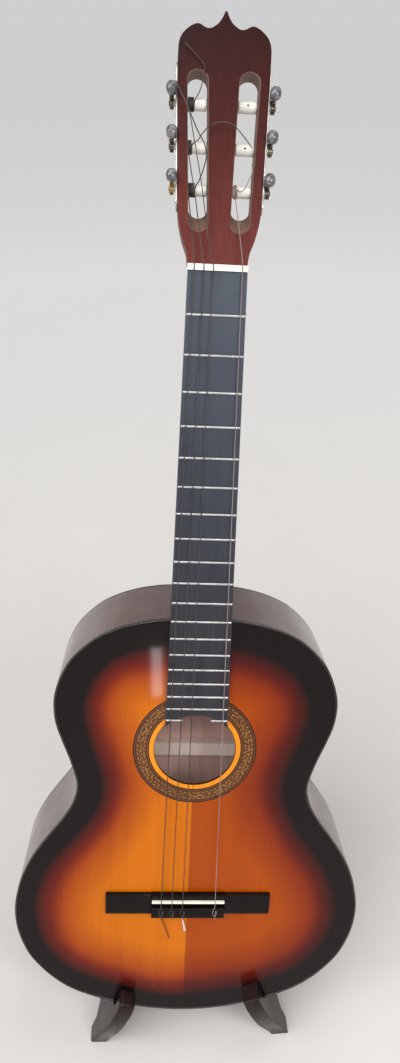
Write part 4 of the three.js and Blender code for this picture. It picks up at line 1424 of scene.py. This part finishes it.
# Worm, shaft and pearl button, turned about the front-to-back axis
def makeKnob(side, number, s):
    shaft = [(0, -2), (2.6, -2), (2.6, 1.5), (2.2, 1.9), (1.5, 1.9), (1.5, 4.6), (1.85, 4.8),
             (1.85, 14.4), (1.5, 14.6), (1.5, 17.2), (1.2, 17.6), (0, 17.6)]
    bm = lathe(shaft, 24)
    turns = 5
    helix = []
    for t in np.linspace(0, 1, turns * 14 + 1):
        a = 2 * math.pi * turns * t
        helix.append((4.9 + 9.4 * t, 1.95 * math.cos(a), 1.95 * math.sin(a)))
    merge(bm, tube(helix, 0.5, 6))
    metalFaces = len(bm.faces)
    button = bmesh.new()
    bmesh.ops.create_uvsphere(button, u_segments=28, v_segments=16, radius=1)
    for vert in button.verts:
        x, y, z = vert.co
        flat = 1 - 0.1 * math.exp(-(x / 0.45) ** 2) * abs(z)
        vert.co = (-3.4 + 4.8 * y, 4.9 * x, 6.2 * z * flat)
    merge(bm, button)
    bm.faces.ensure_lookup_table()
    for face in bm.faces[metalFaces:]:
        face.material_index = 1
    word = "right" if side > 0 else "left"
    stand = Matrix.Rotation(math.pi / 2, 4, "Z")
    move = Matrix.Translation((side * (headHalfWidth(s) + tuner["wormSide"]), 0, s + tuner["wormOffset"]))
    metal = "brass" if side < 0 and number == 1 else "gear"
    addPiece(f"tuning_key_{word}_{number}", finishMesh(bm, "knob", 40), f"knob_{word}_{number}",
             [metal, "pearl"], [f"knob_{word}_{number}"], guitarPlace,
             headPlace @ move @ stand)


for side in (-1, 1):
    makeTunerPlate(side)
    for number, s in enumerate(neck["rollerStations"], 1):
        makeRoller(side, number, s)
        makeKnob(side, number, s)
print("machine heads made")

# Strings


def fromHead(point):
    return tuple(headPlace @ Vector(point))


def rollerWrap(u, s, pitch, turns, reach):
    count = int(turns * 14)
    return [(u + pitch * i / 14, neck["rollerDepth"] + reach * math.sin(math.radians(-100 - 360 * i / 14)),
             s - reach * math.cos(math.radians(-100 - 360 * i / 14))) for i in range(count + 1)]


strings = {
    "e_low": {
        "radius": 0.5, "nut": -20.4, "saddle": -29.4, "roller": -27.6, "station": 0, "turns": 6,
        "look": "wound",
        "bridgeTail": [(-26, -1.5, -690), (-22, -1.5, -702), (-19, -1.4, -711)],
        "headTail": [(-18.5, 1, 68), (-14.5, -3, 79), (-13, -6, 88), (-15.5, -8.5, 96), (-21, -11, 104),
                     (-30, -13, 122), (-40.5, -15, 141)],
    },
    "a": {
        "radius": 0.46, "nut": -12.1, "saddle": -17.8, "roller": -29.0, "station": 1, "turns": 4,
        "look": "wound", "bridgeTail": [],
        "headTail": [(-21, 2.5, 101), (-17, 0, 106), (-10.5, -5, 111.5), (-1.5, -8, 113.5),
                     (8, -9, 111.5), (15.5, -8.5, 105), (21, -8, 99), (25.5, -7.5, 94)],
    },
    "d": {
        "radius": 0.42, "nut": -4.0, "saddle": -6.1, "roller": -29.5, "station": 2, "turns": 6,
        "look": "wound", "bridgeTail": [(-5.0, -2.4, -684), (-3.0, -2.2, -692), (-1.8, -2.4, -700)],
        "headTail": [(-20, 4, 142), (-17, 0, 154), (-17.5, -3, 160), (-24, -4, 167), (-34, -4.5, 176)],
    },
    "e_high": {
        "radius": 0.4, "nut": 20.9, "saddle": 29.2, "roller": 12.4, "station": 0, "turns": 3,
        "look": "nylon", "bridgeTail": [],
        "headTail": [(17, 3.2, 62), (20, 2, 62.5), (23.5, -0.5, 69), (26.5, -2, 76.5), (26, -2.5, 83)],
    },
}


# Bridge tail, loop over the tie block, saddle, nut, roller windings and loose end
def stringPath(item):
    r = item["radius"]
    x = item["saddle"]
    lift = r + 0.12
    tie = [(x + 1.5, -8.2 - lift, -666.5), (x + 2.4, -8.2 - lift, -670.5), (x + 0.6, -8.3 - 2.4 * r, -674.6),
           (x - 1.8, -8.2 - lift, -671), (x - 1.7, -8.2 - lift, -667), (x, -8.4 - 2.6 * r, -663.4)]
    tail = item["bridgeTail"]
    lead = [*tail[::-1], (x + 0.6, -3.0, -679.4), (x + 1.2, -8.2 - lift, -678.4)] if tail else [
        (x + 0.2, -5.0, -678.8), (x + 0.6, -8.2 - lift, -678)]
    over = [(x, -9.8 - r, -659.5), (x, -11.6 - lift, -655.4), (x, -11.8 - lift, -654)]
    run = [(x + (item["nut"] - x) * t, -11.8 - lift + 2.95 * t, -654 + 655.4 * t)
           for t in (0.01, 0.3, 0.6, 0.9)]
    nutTop = [(item["nut"], -8.85 - lift, 1.4), (item["nut"], -8.8 - lift, 4.2)]
    s = neck["rollerStations"][item["station"]]
    wrap = rollerWrap(item["roller"], s, 2.1 * r, item["turns"], tuner["rollerRadius"] + r + 0.05)
    bend = fromHead(((item["nut"] * 0.9 + item["roller"] * 0.1), -7.9, 6))
    middle = fromHead(((item["nut"] + item["roller"]) / 2, -2.0, s / 2 + 2))
    straight = [*lead, *tie, *over, *run, *nutTop, bend, middle]
    curled = [*[fromHead(p) for p in wrap], *[fromHead(p) for p in item["headTail"]]]
    return straight, curled


def makeStrings():
    for name, item in strings.items():
        straight, curled = stringPath(item)
        first = smoothPath(straight, 420)
        second = smoothPath([straight[-1], *curled], 60 + 26 * item["turns"] + 60)
        path = np.vstack([first[:-1], second])
        bm = tube(path, item["radius"], 8)
        addPiece(f"string_{name}_line", finishMesh(bm, name, 60), "guitar", [item["look"]],
                 [f"string_{name}"])


frayed = {"line": [(-5.6, -3.2, -680.5), (-4.6, -3.0, -686), (-3.2, -2.8, -692), (-1.9, -3.0, -698.5)],
          "threads": 18, "threadRadius": 0.22, "spread": 1.0, "seed": 4}


def makeFrayedEnd():
    points = smoothPath(frayed["line"], 14)
    edges = [(i, i + 1) for i in range(len(points) - 1)]
    mesh = grown("frayed", points, edges, frayedEnd, {
        "Threads": frayed["threads"], "Thread Radius": frayed["threadRadius"],
        "Spread": frayed["spread"], "Seed": frayed["seed"], "Thread Material": finish["floss"],
    })
    addPiece("string_d_frayed_end", mesh, "guitar", ["floss"], ())


makeStrings()
makeFrayedEnd()
print("strings made")

# Stand

stand = {
    "rounding": 2.0,
    "hookRounding": 4.5,
    "hingeFront": 159.0,
    "hingeLength": 70.0,
    "screwSteps": (9, 35, 61),
}


# Rounds the sharp outer edges between two depths, seen from the front
def roundEdges(bm, offset, low, high):
    sharp = []
    for edge in bm.edges:
        if len(edge.link_faces) != 2 or not edge.is_convex or edge.calc_face_angle(0) < math.radians(38):
            continue
        if all(low <= vert.co.y < high for vert in edge.verts):
            sharp.append(edge)
    bmesh.ops.bevel(bm, geom=sharp, offset=offset, offset_type="OFFSET", segments=4,
                    profile=0.5, affect="EDGES", clamp_overlap=True)


# One board with its outer edges rounded over, as a router leaves them
def makeBoard(word):
    mesh = bpy.data.objects[f"leg_{word}"].data.copy()
    mesh.transform(bpy.data.objects[f"leg_{word}"].matrix_world)
    mesh.transform(Matrix.Scale(1 / mm, 4))
    bm = bmesh.new()
    bm.from_mesh(mesh)
    bmesh.ops.remove_doubles(bm, verts=bm.verts, dist=0.02)
    bmesh.ops.dissolve_limit(bm, angle_limit=math.radians(1.2), verts=bm.verts, edges=bm.edges)
    bmesh.ops.recalc_face_normals(bm, faces=bm.faces)
    hookEnd = placing["standCentre"][1] + 9.8
    roundEdges(bm, stand["hookRounding"], -1000, hookEnd)
    roundEdges(bm, stand["rounding"], hookEnd, 1000)
    bmesh.ops.triangulate(bm, faces=bm.faces)
    return finishMesh(bm, "board", 35)


def makeStand():
    for side in (-1, 1):
        word = "right" if side > 0 else "left"
        addPiece(f"board_{word}", makeBoard(word), f"{word}_board", ["stand"], [f"leg_{word}"],
                 Matrix.Identity(4))


def makeHinge():
    angle = math.radians(placing["boardAngle"])
    front = stand["hingeFront"]
    step = stand["hingeLength"] / 5
    for side in (-1, 1):
        word = "right" if side > 0 else "left"
        low, high = sorted((side * 3.2, side * 17.0))
        bm = boxSolid((low, front, -3.0), (high, front + stand["hingeLength"], -1.4), 0.3)
        for i in range(5):
            if (i % 2 == 0) == (side < 0):
                ring = plate(circle(3.0, 32), front + i * step + 0.2, front + (i + 1) * step - 0.2, 0.2,
                             [circle(2.0, 24)], steps=1)
                merge(bm, ring)
                strip = boxSolid((min(0.0, side * 4) if side < 0 else 1.9, front + i * step + 0.2, -2.9),
                                 (-1.9 if side < 0 else 4.0, front + (i + 1) * step - 0.2, -1.5), 0.1)
                merge(bm, strip)
        turn = Matrix.Rotation(-side * angle, 4, "Y")
        move = Matrix.Translation((0, 0, placing["hingeHeight"])) @ turn
        mesh = finishMesh(bm, "leaf", 35)
        mesh.transform(move)
        addPiece(f"leaf_{word}", mesh, f"{word}_board", ["brass"], [f"hinge_leaf_{word}"],
                 standShift)
        spots = [(side * 11, front + step, -1.4) for step in stand["screwSteps"]]
        screws = grown("screws", spots, [], rowOfHeads, {
            "Head Radius": 2.7, "Head Height": 0.5, "Slot Width": 0.6, "Head Material": finish["brass"],
        }, {"facing": [(0, 0, 1)] * len(spots)})
        screws.transform(move)
        addPiece(f"hinge_screws_{word}", screws, f"{word}_board", ["brass"], (), standShift)
    pin = lathe([(0, front - 1.2), (1.3, front - 1.2), (1.7, front - 0.8),
                 (1.7, front + stand["hingeLength"] + 0.8), (1.3, front + stand["hingeLength"] + 1.2),
                 (0, front + stand["hingeLength"] + 1.2)], 24)
    pin.transform(Matrix.Translation((0, 0, placing["hingeHeight"])) @ Matrix.Rotation(math.pi / 2, 4, "Z"))
    addPiece("pivot_pin", finishMesh(pin, "pin", 40), "left_board", ["brass"], ["hinge_pin"],
             standShift)


makeStand()
makeHinge()
print("stand made")

# Floor


def makeFloor():
    bpy.ops.mesh.primitive_plane_add(size=80, location=(0, 0, 0))
    floor = bpy.context.object
    floor.name = "floor"
    material, kit, shader = startMaterial("paleFloor")
    where = kit.add("ShaderNodeTexCoord").outputs["Object"]
    tone = kit.noise(where, 3.0, 3.0)
    near = kit.blendColour(tone, (0.62, 0.60, 0.58), (0.67, 0.65, 0.63))
    # Painted light: the floor is made lighter with distance, standing in for light that falls off away from
    # the lamps.
    far = kit.mask(kit.add("ShaderNodeVectorMath", {0: where}, operation="LENGTH").outputs["Value"], 0.4, 3.0)
    kit.feed(shader.inputs["Base Color"], kit.blendColour(far, near, (0.86, 0.85, 0.84)))
    shader.inputs["Roughness"].default_value = 0.7
    floor.data.materials.append(material)


makeFloor()
